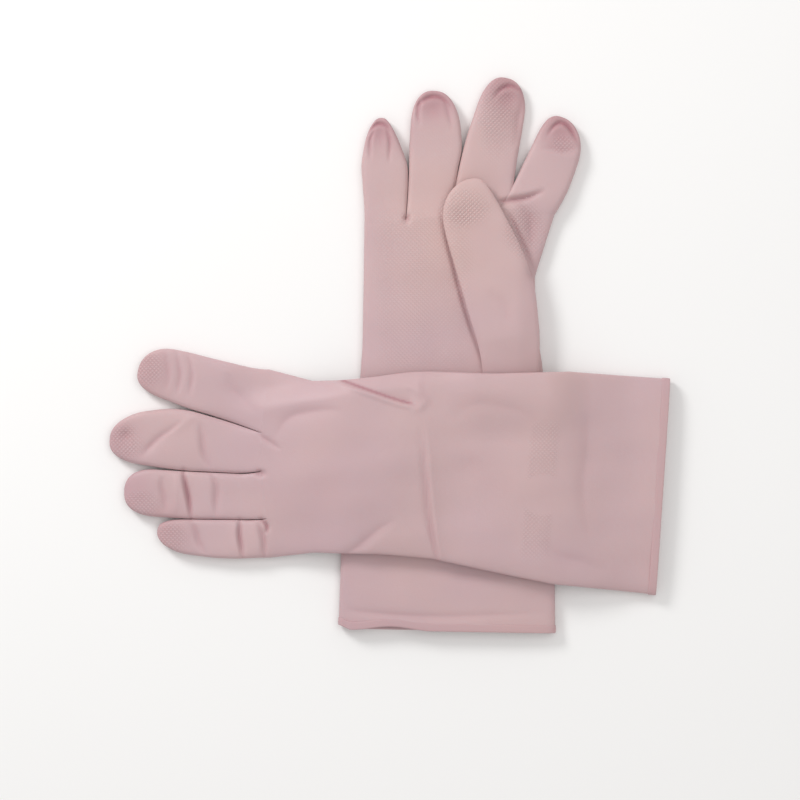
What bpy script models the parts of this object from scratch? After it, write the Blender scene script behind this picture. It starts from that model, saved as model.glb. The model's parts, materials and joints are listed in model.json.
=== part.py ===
"""A pair of household rubber gloves, laid flat and crossed, built as thin hollow shells.

The right glove lies palm up on the table, its fingers along +Y and its thumb folded over the palm.
The left glove lies back up across it, its fingers along -X and its thumb folded under the palm.
Each glove is one dipped rubber film. It is built here as the zones that move against each other:
bead, cuff, hand, thumb and four fingers, cut apart at the lines where the film folds.

Metres, +Z up. The origin is under the middle of the crossed pair, on the table.
"""

import math
from dataclasses import dataclass

import bmesh
import bpy
import numpy as np

MM = 0.001

# The rubber film
FILM = 0.5 * MM  # wall of the dipped film
BEAD_FILM = 0.9 * MM  # the rolled edge of the cuff is a double wall
BEAD_LENGTH = 4.6 * MM
JOIN_GAP = 0.3 * MM  # clearance between neighbouring zones
LAYER_GAP = 0.4 * MM  # clearance between films that lie on each other
TUCK_GAP = 1.2 * MM  # clearance over a thumb that is tucked under its own palm

# Where things are along a glove, from the edge of its cuff
WRIST_LINE = 130 * MM  # the line where the cuff folds against the hand
THUMB_HOLE_START = 136 * MM
THUMB_HOLE_LENGTH = 21 * MM
PALM_END = 205 * MM  # from here on the palm widens to the roots of the fingers

# Flat widths of cuff and hand, as (place along the glove, width)
SLEEVE_WIDTHS = (
    (0 * MM, 126.5 * MM),
    (60 * MM, 124 * MM),
    (95 * MM, 116 * MM),
    (WRIST_LINE, 107 * MM),
    (165 * MM, 101.5 * MM),
    (PALM_END, 100 * MM),
)
THUMB_SWELL = 3 * MM  # how far the base of the thumb swells the index side
THUMB_SWELL_LENGTH = 48 * MM
WRIST_BEND_LENGTH = 30 * MM  # the length over which a cuff turns against its hand

# Heights of the flattened tubes
HAND_HEIGHT = 9.4 * MM
FINGER_HEIGHT = 8.4 * MM
THUMB_HEIGHT = 6.4 * MM
EDGE_SHARE = 0.42  # height of a tube's side edge, as a share of its height
SQUARENESS = 2.6  # superellipse power of every flattened section
UNDERSIDE_PRESS = 1.18  # above 1, the middle of the underside is pressed flat
WEB_DEPTH = 1.2 * MM  # how far the web between two fingers is drawn in

# How the upper glove climbs over the lower one, from the edge of its own cuff
CLIMB_START, CLIMB_LENGTH = 34 * MM, 32 * MM
DROP_START, DROP_LENGTH = 184 * MM, 34 * MM
THUMB_RISE = 5 * MM  # over the root of the lower glove's thumb, near the index side
THUMB_RISE_START, THUMB_RISE_END, THUMB_RISE_RAMP = 48 * MM, 134 * MM, 21 * MM
THUMB_RISE_ACROSS, THUMB_RISE_WIDTH = 18 * MM, 26 * MM

# How the rubber settles round a digit's root
FINGER_SETTLE = 15 * MM
THUMB_SETTLE = 26 * MM

# Mesh divisions
FINGER_COLUMNS = 4  # across one side of a finger
SIDE_STEPS = 3  # round a side edge
DOME_RINGS = 4
CUFF_RINGS = 10
PALM_RINGS = 10
SHAFT_STEP = 10 * MM
EDGE_COLUMN = 0.93  # the outermost column, as a share of the half width


@dataclass
class Digit:
    """A finger or thumb as it lies. Across is positive towards the index side."""

    name: str
    reach: float  # from its root to its tip, along the glove
    drift: float  # from its root to its tip, across the glove
    bow: float  # sideways bow at half its length
    widths: tuple  # flat width at its root, half way and four fifths of the way
    dome: float  # length of its rounded tip
    fold: float  # from its root to the line where it folds
    height: float = FINGER_HEIGHT
    settle: float = FINGER_SETTLE
    root_along: float = 0.0
    root_across: float = 0.0


@dataclass
class Glove:
    """How one glove lies on the table."""

    side: str
    corner: tuple  # where the middle of the cuff's edge would be without the cuff's turn
    heading: float  # angle of the direction from cuff to fingers, in radians
    palm_up: bool
    on_top: bool
    cuff_turn: float  # angle between cuff and hand in plan, in radians
    edge_slant: float  # angle of the cuff's edge across the glove, in radians
    hand_shift: float  # middle of the hand, across
    root_shift: float  # middle of the fingers' roots, across
    root_widths: tuple  # room of each finger across the knuckles, little finger first
    crotches: tuple  # place along the glove of the three crotches
    fingers: tuple
    thumb: Digit


def right_glove():
    """The lower glove, its fingers fanned out and its thumb across the palm."""
    little = Digit(
        name="little",
        reach=60 * MM,
        drift=-2 * MM,
        bow=0.2 * MM,
        widths=(23 * MM, 26.2 * MM, 24.4 * MM),
        dome=28 * MM,
        fold=22 * MM,
    )
    ring = Digit(
        name="ring",
        reach=73.6 * MM,
        drift=3 * MM,
        bow=1.0 * MM,
        widths=(25.4 * MM, 29 * MM, 29.4 * MM),
        dome=24 * MM,
        fold=28 * MM,
    )
    middle = Digit(
        name="middle",
        reach=76.4 * MM,
        drift=19 * MM,
        bow=0.9 * MM,
        widths=(25.4 * MM, 31.2 * MM, 29.6 * MM),
        dome=22 * MM,
        fold=30 * MM,
    )
    index = Digit(
        name="index",
        reach=54 * MM,
        drift=20.4 * MM,
        bow=2.8 * MM,
        widths=(30.4 * MM, 31.2 * MM, 30.8 * MM),
        dome=28 * MM,
        fold=24 * MM,
    )
    thumb = Digit(
        name="thumb",
        reach=117.5 * MM,
        drift=-24 * MM,
        bow=3.5 * MM,
        widths=(33 * MM, 43 * MM, 37.4 * MM),
        dome=24 * MM,
        fold=46 * MM,
        height=THUMB_HEIGHT,
        settle=THUMB_SETTLE,
    )
    return Glove(
        side="right",
        corner=(34.2 * MM, -160.15 * MM),
        heading=math.radians(90),
        palm_up=True,
        on_top=False,
        cuff_turn=math.radians(0.6),
        edge_slant=math.radians(0.4),
        hand_shift=-0.4 * MM,
        root_shift=5.5 * MM,
        root_widths=(24.2 * MM, 27 * MM, 26.8 * MM, 33 * MM),
        crotches=(240 * MM, 243 * MM, 247 * MM),
        fingers=(little, ring, middle, index),
        thumb=thumb,
    )


def left_glove():
    """The upper glove, its fingers together and its thumb under the palm."""
    little = Digit(
        name="little",
        reach=65 * MM,
        drift=4.4 * MM,
        bow=-2.6 * MM,
        widths=(22 * MM, 22 * MM, 21.6 * MM),
        dome=20 * MM,
        fold=17 * MM,
    )
    ring = Digit(
        name="ring",
        reach=80.4 * MM,
        drift=1.7 * MM,
        bow=0.0,
        widths=(27.6 * MM, 28.4 * MM, 28.2 * MM),
        dome=15 * MM,
        fold=17 * MM,
    )
    middle = Digit(
        name="middle",
        reach=87 * MM,
        drift=7.6 * MM,
        bow=3.5 * MM,
        widths=(20 * MM, 33.2 * MM, 33.4 * MM),
        dome=21 * MM,
        fold=17 * MM,
    )
    index = Digit(
        name="index",
        reach=74 * MM,
        drift=18.6 * MM,
        bow=2.3 * MM,
        widths=(35 * MM, 31.8 * MM, 31 * MM),
        dome=18 * MM,
        fold=17 * MM,
    )
    thumb = Digit(
        name="thumb",
        reach=86 * MM,
        drift=-21 * MM,
        bow=1.5 * MM,
        widths=(31 * MM, 37 * MM, 34 * MM),
        dome=26 * MM,
        fold=42 * MM,
        height=THUMB_HEIGHT,
        settle=THUMB_SETTLE,
    )
    return Glove(
        side="left",
        corner=(158.4 * MM, -64.85 * MM),
        heading=math.radians(180),
        palm_up=False,
        on_top=True,
        cuff_turn=math.radians(5.2),
        edge_slant=math.radians(-1.4),
        hand_shift=0.8 * MM,
        root_shift=2.6 * MM,
        root_widths=(22.9 * MM, 28.2 * MM, 21.6 * MM, 37.2 * MM),
        crotches=(231 * MM, 234 * MM, 234 * MM),
        fingers=(little, ring, middle, index),
        thumb=thumb,
    )


def smooth(x):
    """0 below 0, 1 above 1, and a smooth step between."""
    x = np.clip(x, 0.0, 1.0)
    return x * x * (3 - 2 * x)


def through_three(v, at, values):
    """The parabola through three values."""
    total = 0.0
    for i in range(3):
        j, k = (n for n in range(3) if n != i)
        total += values[i] * (v - at[j]) * (v - at[k]) / ((at[i] - at[j]) * (at[i] - at[k]))
    return total


# The flattened section


def dome_height(q):
    """Height of a unit superellipse at the share q of its half width."""
    return np.maximum(1 - np.abs(q) ** SQUARENESS, 0.0) ** (1 / SQUARENESS)


def side_points():
    """Unit points (across, up) that turn round the index-side edge, from above to below."""
    start = math.acos(EDGE_COLUMN ** (SQUARENESS / 2))
    turn = np.linspace(start, -start, SIDE_STEPS + 1)[1:-1]
    across = np.cos(turn) ** (2 / SQUARENESS)
    up = np.sign(turn) * np.abs(np.sin(turn)) ** (2 / SQUARENESS)
    return np.stack([across, up], 1)


def unit_ring(columns):
    """A closed unit section over the given columns: top, index side, underside, little side."""
    top = np.stack([columns, dome_height(columns)], 1)
    side = side_points()
    under = top[::-1] * (1, -1)
    return np.concatenate([top, side, under, side[::-1] * (-1, 1)])


def lift(up, height):
    """Height above a tube's resting plane of the unit height up, pressed flat below."""
    edge = EDGE_SHARE * height
    above = edge + up * (height - edge)
    below = np.maximum(edge * (1 + UNDERSIDE_PRESS * up), 0.0)
    return np.where(up > 0, above, below)


# The sleeve: cuff and hand


def sleeve_across(glove, q, along):
    """Place across the glove of the share q of the half width."""
    crotch = min(glove.crotches)
    at = [station for station, _ in SLEEVE_WIDTHS] + [crotch]
    widths = [width for _, width in SLEEVE_WIDTHS] + [sum(glove.root_widths)]
    middle = np.interp(along, (PALM_END, crotch), (glove.hand_shift, glove.root_shift))
    thumb = THUMB_HOLE_START + THUMB_HOLE_LENGTH / 2
    swell = THUMB_SWELL * (1 - smooth(np.abs(along - thumb) / THUMB_SWELL_LENGTH))
    return middle + q * np.interp(along, at, widths) / 2 + swell * smooth(q)


def turn_cuff(glove, along, across):
    """Turns the cuff in plan about the middle of the wrist, and slants its edge."""
    back = WRIST_LINE - along
    past = 0.5 * (back + np.sqrt(back**2 + (WRIST_BEND_LENGTH / 2) ** 2))
    turned = glove.cuff_turn * smooth(0.5 + back / WRIST_BEND_LENGTH)
    slant = glove.edge_slant * smooth(back / WRIST_LINE)
    shift = past * math.tan(glove.cuff_turn)
    return along - across * np.sin(turned + slant), across * np.cos(turned) - shift


def place(glove, along, across, height):
    """World points from the glove's own frame."""
    cos, sin = math.cos(glove.heading), math.sin(glove.heading)
    x = glove.corner[0] + along * cos + across * sin
    y = glove.corner[1] + along * sin - across * cos
    return np.stack([x, y, height], -1)


def knuckle_columns(glove):
    """Shares of the half width of the columns, so that each crotch falls on a column."""
    half = sum(glove.root_widths) / 2
    edges = (np.cumsum((0, *glove.root_widths)) - half) / half
    edges[0], edges[-1] = -EDGE_COLUMN, EDGE_COLUMN
    spans = [
        np.linspace(edges[i], edges[i + 1], FINGER_COLUMNS, endpoint=False) for i in range(4)
    ]
    return np.concatenate([*spans, [EDGE_COLUMN]])


def knuckle_line(glove, q):
    """Place along the glove of the fingers' roots, at a share of the half width."""
    half = sum(glove.root_widths) / 2
    edges = (np.cumsum(glove.root_widths)[:3] - half) / half
    first, _, last = glove.crotches
    return np.interp(q, (-1, *edges, 1), (first - 2 * MM, *glove.crotches, last - 4 * MM))


def sleeve_rings(glove, stations):
    """World rings of the sleeve. Towards the fingers they bend to the knuckle line."""
    ring = unit_ring(knuckle_columns(glove))
    q, up = ring[:, 0], ring[:, 1]
    start = THUMB_HOLE_START + THUMB_HOLE_LENGTH
    end = min(glove.crotches)
    rings = []
    for station in stations:
        bend = smooth((station - start) / (end - start))
        along = station + bend * (knuckle_line(glove, q) - end)
        along, across = turn_cuff(glove, along, sleeve_across(glove, q, station))
        height = lift(up, HAND_HEIGHT) + support(glove, along, across)
        rings.append(place(glove, along, across, height))
    return np.array(rings)


# What a glove rests on


def support(glove, along, across):
    """Height of what the glove's sleeve and fingers rest on."""
    if not glove.on_top:
        return np.zeros_like(along)
    over_own_thumb = own_thumb_rise(glove, along, across)
    return LAYER_GAP + crossing_rise(along) + root_rise(along, across) + over_own_thumb


def crossing_rise(along):
    """The step up on to the lower glove's sleeve and down again past it."""
    up = smooth((along - CLIMB_START) / CLIMB_LENGTH)
    down = smooth((along - DROP_START) / DROP_LENGTH)
    return (HAND_HEIGHT + LAYER_GAP) * up * (1 - down)


def root_rise(along, across):
    """The low rise over the root of the lower glove's thumb, near the index side."""
    up = smooth((along - THUMB_RISE_START) / THUMB_RISE_RAMP)
    down = smooth((along - THUMB_RISE_END + THUMB_RISE_RAMP) / THUMB_RISE_RAMP)
    side = smooth((across - THUMB_RISE_ACROSS) / THUMB_RISE_WIDTH)
    return THUMB_RISE * up * (1 - down) * side


def own_thumb_rise(glove, along, across):
    """The rise over the thumb that is folded under the palm."""
    thumb = rooted_thumb(glove)
    v = (along - thumb.root_along) / thumb.reach
    middle = thumb.root_across + v * thumb.drift + 4 * v * (1 - v) * thumb.bow
    ramp = THUMB_SETTLE
    up = smooth((along - THUMB_HOLE_START - THUMB_HOLE_LENGTH + ramp) / ramp)
    down = smooth((along - thumb.root_along - thumb.reach + ramp / 2) / ramp)
    past_side = np.abs(across - middle) - max(thumb.widths) / 2 - TUCK_GAP
    side = smooth(past_side / (0.8 * ramp))
    return (THUMB_HEIGHT + TUCK_GAP) * up * (1 - down) * (1 - side)


def digit_support(glove, digit, along, across):
    """Height of what a digit rests on."""
    if digit.name != "thumb":
        return support(glove, along, across)
    if glove.palm_up:
        return np.full_like(along, HAND_HEIGHT + LAYER_GAP)
    return LAYER_GAP + crossing_rise(along)


# Fingers and thumb


def rooted_fingers(glove):
    """The fingers, each with its root set by the knuckle line and its neighbours' widths."""
    half = sum(glove.root_widths) / 2
    starts = np.cumsum((0, *glove.root_widths)) - half
    for number, finger in enumerate(glove.fingers):
        middle = (starts[number] + starts[number + 1]) / 2
        finger.root_across = glove.root_shift + middle
        finger.root_along = float(knuckle_line(glove, middle / half))
    return glove.fingers


def thumb_hole_columns():
    """First and last column of the thumb's hole: as wide as a finger, near the index side."""
    last = 4 * FINGER_COLUMNS - 1
    return last - FINGER_COLUMNS, last


def rooted_thumb(glove):
    """The thumb, with its root set at the middle of its hole."""
    first, last = thumb_hole_columns()
    q = knuckle_columns(glove)[[first, last]].mean()
    glove.thumb.root_along = THUMB_HOLE_START + THUMB_HOLE_LENGTH / 2
    glove.thumb.root_across = float(sleeve_across(glove, q, glove.thumb.root_along))
    return glove.thumb


def direction(digit, v):
    """Unit (along, across) direction of the digit's middle line at the share v."""
    aside = digit.drift + 4 * (1 - 2 * v) * digit.bow
    length = math.hypot(digit.reach, aside)
    return digit.reach / length, aside / length


def digit_ring(glove, digit, v):
    """World points of the digit's section at the share v of its length."""
    ring = unit_ring(np.linspace(-EDGE_COLUMN, EDGE_COLUMN, FINGER_COLUMNS + 1))
    ahead, aside = direction(digit, v)
    start = 1 - digit.dome / digit.reach
    rounding = math.sqrt(1 - np.clip((v - start) / (1 - start), 0.0, 1.0) ** 2)
    half = through_three(v, (0, 0.5, 0.8), digit.widths) / 2 * rounding
    along = digit.root_along + v * digit.reach - ring[:, 0] * half * aside
    middle = digit.root_across + v * digit.drift + 4 * v * (1 - v) * digit.bow
    across = middle + ring[:, 0] * half * ahead
    tall = digit.height * rounding
    edge_drop = EDGE_SHARE * (digit.height - tall)
    height = lift(ring[:, 1], tall) + edge_drop + digit_support(glove, digit, along, across)
    return place(glove, along, across, height)


def shares(digit, start, end):
    """Shares of the digit's length for the rings between two distances from its root."""
    low, high = start / digit.reach, end / digit.reach
    dome = 1 - digit.dome / digit.reach
    last = min(high, max(dome, low))
    count = max(2, round((last - low) * digit.reach / SHAFT_STEP) + 1)
    shaft = np.linspace(low, last, count)
    if high < 1:
        return shaft
    turns = np.sin(np.linspace(0, math.pi / 2, DOME_RINGS + 1))[1:]
    return np.concatenate([shaft, last + (1 - last) * turns])


def stub_rings(glove, digit, root):
    """Rings that leave the root loop and take the digit's own section, up to its fold line."""
    rings = []
    for v in shares(digit, 0.0, digit.fold - JOIN_GAP / 2):
        own = smooth(v * digit.reach / digit.settle)
        rings.append(root * (1 - own) + digit_ring(glove, digit, v) * own)
    return np.array(rings)


def web_path(glove, knuckles, crotch):
    """Points down the web between two fingers, without its ends."""
    step = crotch * FINGER_COLUMNS
    top = knuckles[step]
    under = knuckles[8 * FINGER_COLUMNS + SIDE_STEPS - step]
    share = np.linspace(0, 1, SIDE_STEPS + 1)[1:-1, None]
    ahead = np.array([math.cos(glove.heading), math.sin(glove.heading), 0.0])
    return top * (1 - share) + under * share - WEB_DEPTH * ahead * np.sin(math.pi * share)


def finger_root(glove, knuckles, number):
    """The loop where a finger leaves the knuckles: top, index side, underside, little side."""
    n = FINGER_COLUMNS
    last_top, first_under = 4 * n, 4 * n + SIDE_STEPS
    last_under = first_under + 4 * n
    top = knuckles[number * n : (number + 1) * n + 1]
    under = knuckles[last_under - (number + 1) * n : last_under - number * n + 1]
    index_side = knuckles[last_top + 1 : first_under]
    little_side = knuckles[last_under + 1 :]
    if number < 3:
        index_side = web_path(glove, knuckles, number + 1)
    if number > 0:
        little_side = web_path(glove, knuckles, number)[::-1]
    return np.concatenate([top, index_side, under, little_side])


def thumb_root(glove, sleeve, first_row):
    """The loop round the thumb's hole in the palm, and the number of its first column.

    A thumb folded over the palm has its outer side above, and leaves the hole's cuff end there.
    A thumb folded under the palm has its outer side below.
    """
    columns = np.arange(thumb_hole_columns()[0], thumb_hole_columns()[1] + 1)
    if not glove.palm_up:
        columns = 8 * FINGER_COLUMNS + SIDE_STEPS - columns
    block = sleeve[first_row : first_row + SIDE_STEPS + 1][:, columns]
    if not glove.palm_up:
        block = block[::-1]
    sides = (block[0], block[1:-1, -1], block[-1][::-1], block[1:-1, 0][::-1])
    return np.concatenate(sides), columns.min()


# Pieces


def film_piece(name, grids, skipped=(), wall=FILM, origin=(0, 0, 0)):
    """An object whose outer face is the welded ring grids, with its wall laid inside.

    The object's origin is the given world point, which lies on the piece's joint axis.
    """
    points, faces = [], []
    for number, grid in enumerate(grids):
        rows, columns = grid.shape[:2]
        base = len(points)
        points.extend((grid.reshape(-1, 3) - origin).tolist())
        for row in range(rows - 1):
            for column in range(columns):
                if (number, row, column) in skipped:
                    continue
                here, right = row * columns + column, row * columns + (column + 1) % columns
                faces.append([base + corner for corner in (here, right, right + columns, here + columns)])
    mesh = bpy.data.meshes.new(name)
    mesh.from_pydata(points, [], faces)
    shell = bmesh.new()
    shell.from_mesh(mesh)
    bmesh.ops.remove_doubles(shell, verts=shell.verts, dist=0.001 * MM)
    shell.to_mesh(mesh)
    shell.free()
    mesh.shade_smooth()
    piece = bpy.data.objects.new(name, mesh)
    piece.location = origin
    film = piece.modifiers.new("film", "SOLIDIFY")
    film.thickness = wall
    film.offset = -1
    return piece


def make_cuff(glove):
    """The rolled bead at the cuff's edge, and the cuff up to the wrist line."""
    bead = sleeve_rings(glove, (0.0, BEAD_LENGTH))
    cuff = sleeve_rings(
        glove, np.linspace(BEAD_LENGTH + JOIN_GAP, WRIST_LINE - JOIN_GAP / 2, CUFF_RINGS)
    )
    return [
        film_piece(f"{glove.side}_cuff_bead", [bead], wall=BEAD_FILM, origin=bead[0].mean(0)),
        film_piece(f"{glove.side}_cuff", [cuff], origin=cuff[0].mean(0)),
    ]


def wrist_hinge(glove):
    """The middle of the wrist's fold line, on the upper skin."""
    line = sleeve_rings(glove, [WRIST_LINE])[0]
    return np.array([*line[:, :2].mean(0), line[:, 2].max()])


def digit_hinge(glove, digit):
    """The middle of the digit's fold line, on the skin that it folds towards."""
    line = digit_ring(glove, digit, digit.fold / digit.reach)
    folds_down = digit.name == "thumb" and not glove.palm_up
    height = line[:, 2].min() if folds_down else line[:, 2].max()
    return np.array([*line[:, :2].mean(0), height])


def make_hand(glove):
    """The hand from the wrist to the fold lines of the fingers and thumb."""
    hole = np.linspace(THUMB_HOLE_START, THUMB_HOLE_START + THUMB_HOLE_LENGTH, SIDE_STEPS + 1)
    palm = np.linspace(hole[-1], min(glove.crotches), PALM_RINGS)[1:]
    sleeve = sleeve_rings(glove, [WRIST_LINE + JOIN_GAP / 2, *hole, *palm])
    root, first = thumb_root(glove, sleeve, 1)
    skipped = {
        (0, 1 + row, first + column)
        for row in range(SIDE_STEPS)
        for column in range(FINGER_COLUMNS)
    }
    grids = [sleeve, stub_rings(glove, rooted_thumb(glove), root)]
    for number, finger in enumerate(rooted_fingers(glove)):
        grids.append(stub_rings(glove, finger, finger_root(glove, sleeve[-1], number)))
    return film_piece(f"{glove.side}_hand", grids, skipped, origin=wrist_hinge(glove))


def make_digit(glove, digit):
    """A finger or thumb from its fold line to its tip."""
    stations = shares(digit, digit.fold + JOIN_GAP / 2, digit.reach)
    rings = [digit_ring(glove, digit, v) for v in stations]
    rings[-1][:] = rings[-1].mean(0)
    name = digit.name if digit.name == "thumb" else f"{digit.name}_finger"
    return film_piece(f"{glove.side}_{name}", [np.array(rings)], origin=digit_hinge(glove, digit))


def hang(piece, parent):
    """Parents a piece, which stays where it is."""
    piece.parent = parent
    piece.location = piece.location - parent.location


def make_glove(glove):
    """All pieces of one glove, each hung from the piece that it moves on."""
    bead, cuff = make_cuff(glove)
    hand = make_hand(glove)
    digits = [
        make_digit(glove, digit) for digit in (*rooted_fingers(glove), rooted_thumb(glove))
    ]
    for digit in digits:
        hang(digit, hand)
    hang(hand, cuff)
    hang(bead, cuff)
    return [bead, cuff, hand, *digits]


def pink_rubber():
    """Soft pink natural rubber, matt with a faint sheen."""
    material = bpy.data.materials.new("pink_rubber")
    material.use_nodes = True
    shader = material.node_tree.nodes["Principled BSDF"]
    shader.inputs["Base Color"].default_value = (0.58, 0.41, 0.42, 1)
    shader.inputs["Roughness"].default_value = 0.55
    shader.inputs["Metallic"].default_value = 0.0
    return material


def main():
    for old in list(bpy.data.objects):
        bpy.data.objects.remove(old)
    pair = bpy.data.collections.new("rubber_gloves")
    bpy.context.scene.collection.children.link(pair)
    rubber = pink_rubber()
    for glove in (right_glove(), left_glove()):
        for piece in make_glove(glove):
            piece.data.materials.append(rubber)
            pair.objects.link(piece)


if __name__ == "__main__":
    main()
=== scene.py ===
"""Two crossed household rubber gloves, as dipped rubber films with their folds, grip and rolled cuffs.

Each glove is one thin film. Its outer face is worked out as a height over the glove's own flat
plan: a flattened tube for cuff and hand, a flattened tube for each finger and the thumb, and a
relief of folds, dents and wrinkles on the upper skin. The film is then cut into the pieces that
move against each other, at lines where the film stays still when they bend.
"""

import functools
import json
import math
from dataclasses import dataclass

import bpy
import numpy as np
from bpy.props import FloatProperty, PointerProperty, StringProperty
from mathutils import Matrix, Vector


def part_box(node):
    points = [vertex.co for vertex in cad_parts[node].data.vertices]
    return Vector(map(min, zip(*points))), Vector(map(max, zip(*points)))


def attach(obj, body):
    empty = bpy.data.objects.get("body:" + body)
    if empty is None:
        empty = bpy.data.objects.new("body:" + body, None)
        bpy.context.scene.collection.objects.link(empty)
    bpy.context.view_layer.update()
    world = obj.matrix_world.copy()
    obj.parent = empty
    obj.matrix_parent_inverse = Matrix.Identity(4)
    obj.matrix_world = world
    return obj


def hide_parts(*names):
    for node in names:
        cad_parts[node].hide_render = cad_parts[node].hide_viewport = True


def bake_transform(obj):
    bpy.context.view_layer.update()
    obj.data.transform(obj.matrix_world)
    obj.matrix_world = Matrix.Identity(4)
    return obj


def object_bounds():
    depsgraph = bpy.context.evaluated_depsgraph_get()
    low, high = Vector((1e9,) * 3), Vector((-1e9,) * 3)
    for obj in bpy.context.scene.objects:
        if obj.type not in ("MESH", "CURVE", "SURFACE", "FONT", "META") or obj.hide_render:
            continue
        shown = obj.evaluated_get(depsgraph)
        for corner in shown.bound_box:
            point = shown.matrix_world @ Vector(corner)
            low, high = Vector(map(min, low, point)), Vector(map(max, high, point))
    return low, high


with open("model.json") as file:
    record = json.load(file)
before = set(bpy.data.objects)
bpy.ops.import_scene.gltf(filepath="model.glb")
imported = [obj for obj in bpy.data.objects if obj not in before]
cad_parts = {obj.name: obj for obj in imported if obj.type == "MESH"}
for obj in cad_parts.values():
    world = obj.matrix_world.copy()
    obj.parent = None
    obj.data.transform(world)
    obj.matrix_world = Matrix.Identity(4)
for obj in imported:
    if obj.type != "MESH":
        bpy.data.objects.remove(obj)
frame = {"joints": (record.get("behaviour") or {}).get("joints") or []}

bl_info = {
    "name": "Crossed Rubber Gloves",
    "version": (1, 0, 0),
    "blender": (4, 5, 0),
    "location": "View3D > Sidebar > Gloves",
    "description": "Builds a pair of dipped rubber gloves that lie flat and crossed",
    "category": "Add Mesh",
}

MM = 0.001
CAD_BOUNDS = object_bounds()


# Sizes that come from the frame


def node_size(node):
    """Length, width and height of a node's box."""
    low, high = (np.array(corner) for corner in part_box(node))
    return high - low


def node_middle(node):
    """Middle of a node's box."""
    low, high = (np.array(corner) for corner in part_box(node))
    return (low + high) / 2


HAND_HEIGHT = float(node_size("right_cuff")[2])
FINGER_HEIGHT = float(node_size("right_ring_finger")[2])
THUMB_HEIGHT = float(node_size("right_thumb")[2])
TUCKED_THUMB_HEIGHT = 0.6 * THUMB_HEIGHT
LAYER_GAP = float(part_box("left_cuff_bead")[0][2])

# Where things are along a glove, from the edge of its cuff
WRIST_LINE = 130 * MM
THUMB_HOLE_START = 136 * MM
THUMB_HOLE_LENGTH = 21 * MM
PALM_END = 205 * MM
SLEEVE_WIDTHS = (
    (0 * MM, 126.5 * MM),
    (60 * MM, 124 * MM),
    (95 * MM, 116 * MM),
    (WRIST_LINE, 107 * MM),
    (165 * MM, 101.5 * MM),
    (PALM_END, 100 * MM),
)
THUMB_SWELL = 3 * MM
THUMB_SWELL_LENGTH = 48 * MM
WRIST_TURN_LENGTH = 18 * MM
WEB_DEPTH = 1.2 * MM
LITTLE_EDGE_BACK, INDEX_EDGE_BACK = 2 * MM, 4 * MM

# How far the lower glove's upper edge is drawn back from its mouth, and its corner with it
MOUTH_LENGTH = 30 * MM
MOUTH_DRAWN, MOUTH_MIDDLE, MOUTH_HALF_WIDTH = 2.4 * MM, -33 * MM, 24 * MM
CORNER_DRAWN, CORNER_START, CORNER_WIDTH = 2.6 * MM, 56 * MM, 8 * MM

# How the upper glove climbs over the lower one, along and across the upper glove
CLIMB_START, CLIMB_LENGTH = 14 * MM, 58 * MM
DROP_START, DROP_LENGTH = 176 * MM, 54 * MM
THUMB_RISE = 5 * MM
THUMB_RISE_START, THUMB_RISE_END, THUMB_RISE_RAMP = 42 * MM, 136 * MM, 28 * MM
THUMB_RISE_ACROSS, THUMB_RISE_WIDTH = 14 * MM, 32 * MM

# How far from its root a digit takes on its own section
FINGER_SETTLE = 15 * MM
THUMB_SETTLE = 26 * MM

# How the film rises over a thumb tucked under it, and a thumb droops at the palm's edge
TUCK_GAP = 1.2 * MM
TUCK_ROOT_RAMP, TUCK_TIP_RAMP = 1.8 * THUMB_SETTLE, 1.6 * THUMB_SETTLE
TUCK_LITTLE_RAMP, TUCK_INDEX_RAMP = 1.8 * THUMB_SETTLE, 0.6 * THUMB_SETTLE
THUMB_DROOP, DROOP_START, DROOP_WIDTH = 2 * MM, 38 * MM, 14 * MM

# The distance from a digit's root where its piece leaves the hand's.
FINGER_SPLIT, THUMB_SPLIT = 2.5 * MM, 24 * MM

# The flattened section: the higher its power, the flatter its top and the steeper its sides
SLEEVE_SQUARENESS = 4.2
DIGIT_SQUARENESS = 5.5
TIP_SQUARENESS = 2.4
TIP_THINNING = 0.7
EDGE_COLUMN = 0.985
EDGE_SHARE = 0.42
UNDERSIDE_PRESS = 1.18

# The rolled edge: it overlaps the film's end, and a swell widens it only near the two edges
ROLL_OVERLAP = 0.8 * MM
ROLL_WAY_SQUARENESS, ROLL_OUT_SQUARENESS = 5.0, 2.4
ROLL_LAYERS_INSIDE = 2
ROLL_BLUSH = 0.16
SWELL_POWER = 6

# Mesh divisions
FINGER_COLUMNS = 30
SIDE_STEPS = 11
TOP_END = 4 * FINGER_COLUMNS
UNDER_START = TOP_END + SIDE_STEPS
UNDER_END = UNDER_START + 4 * FINGER_COLUMNS
ROW_STEP = 1 * MM
CUFF_END = 105 * MM
DOME_RINGS = 18
ROLL_COLUMNS = 28
SKEW_ROUNDS = 3
CREASE_POINTS = 25
WELD_DISTANCE = 0.001 * MM
LINING_CLEARANCE = 0.1

# Relief: wave lengths of the limp film in millimetres, shares of depth and of the painted shade in
# folds and dents
WAVE_LENGTHS = (62, 47, 36, 27, 21)
PALM_SEED, THUMB_SEED = 3, 5
RELIEF_FADE = 0.6
CREASE_WANDER, WANDER_TURN = 0.22, 7
DENT_SHADE, DARKEST = 0.12, 0.75

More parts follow.
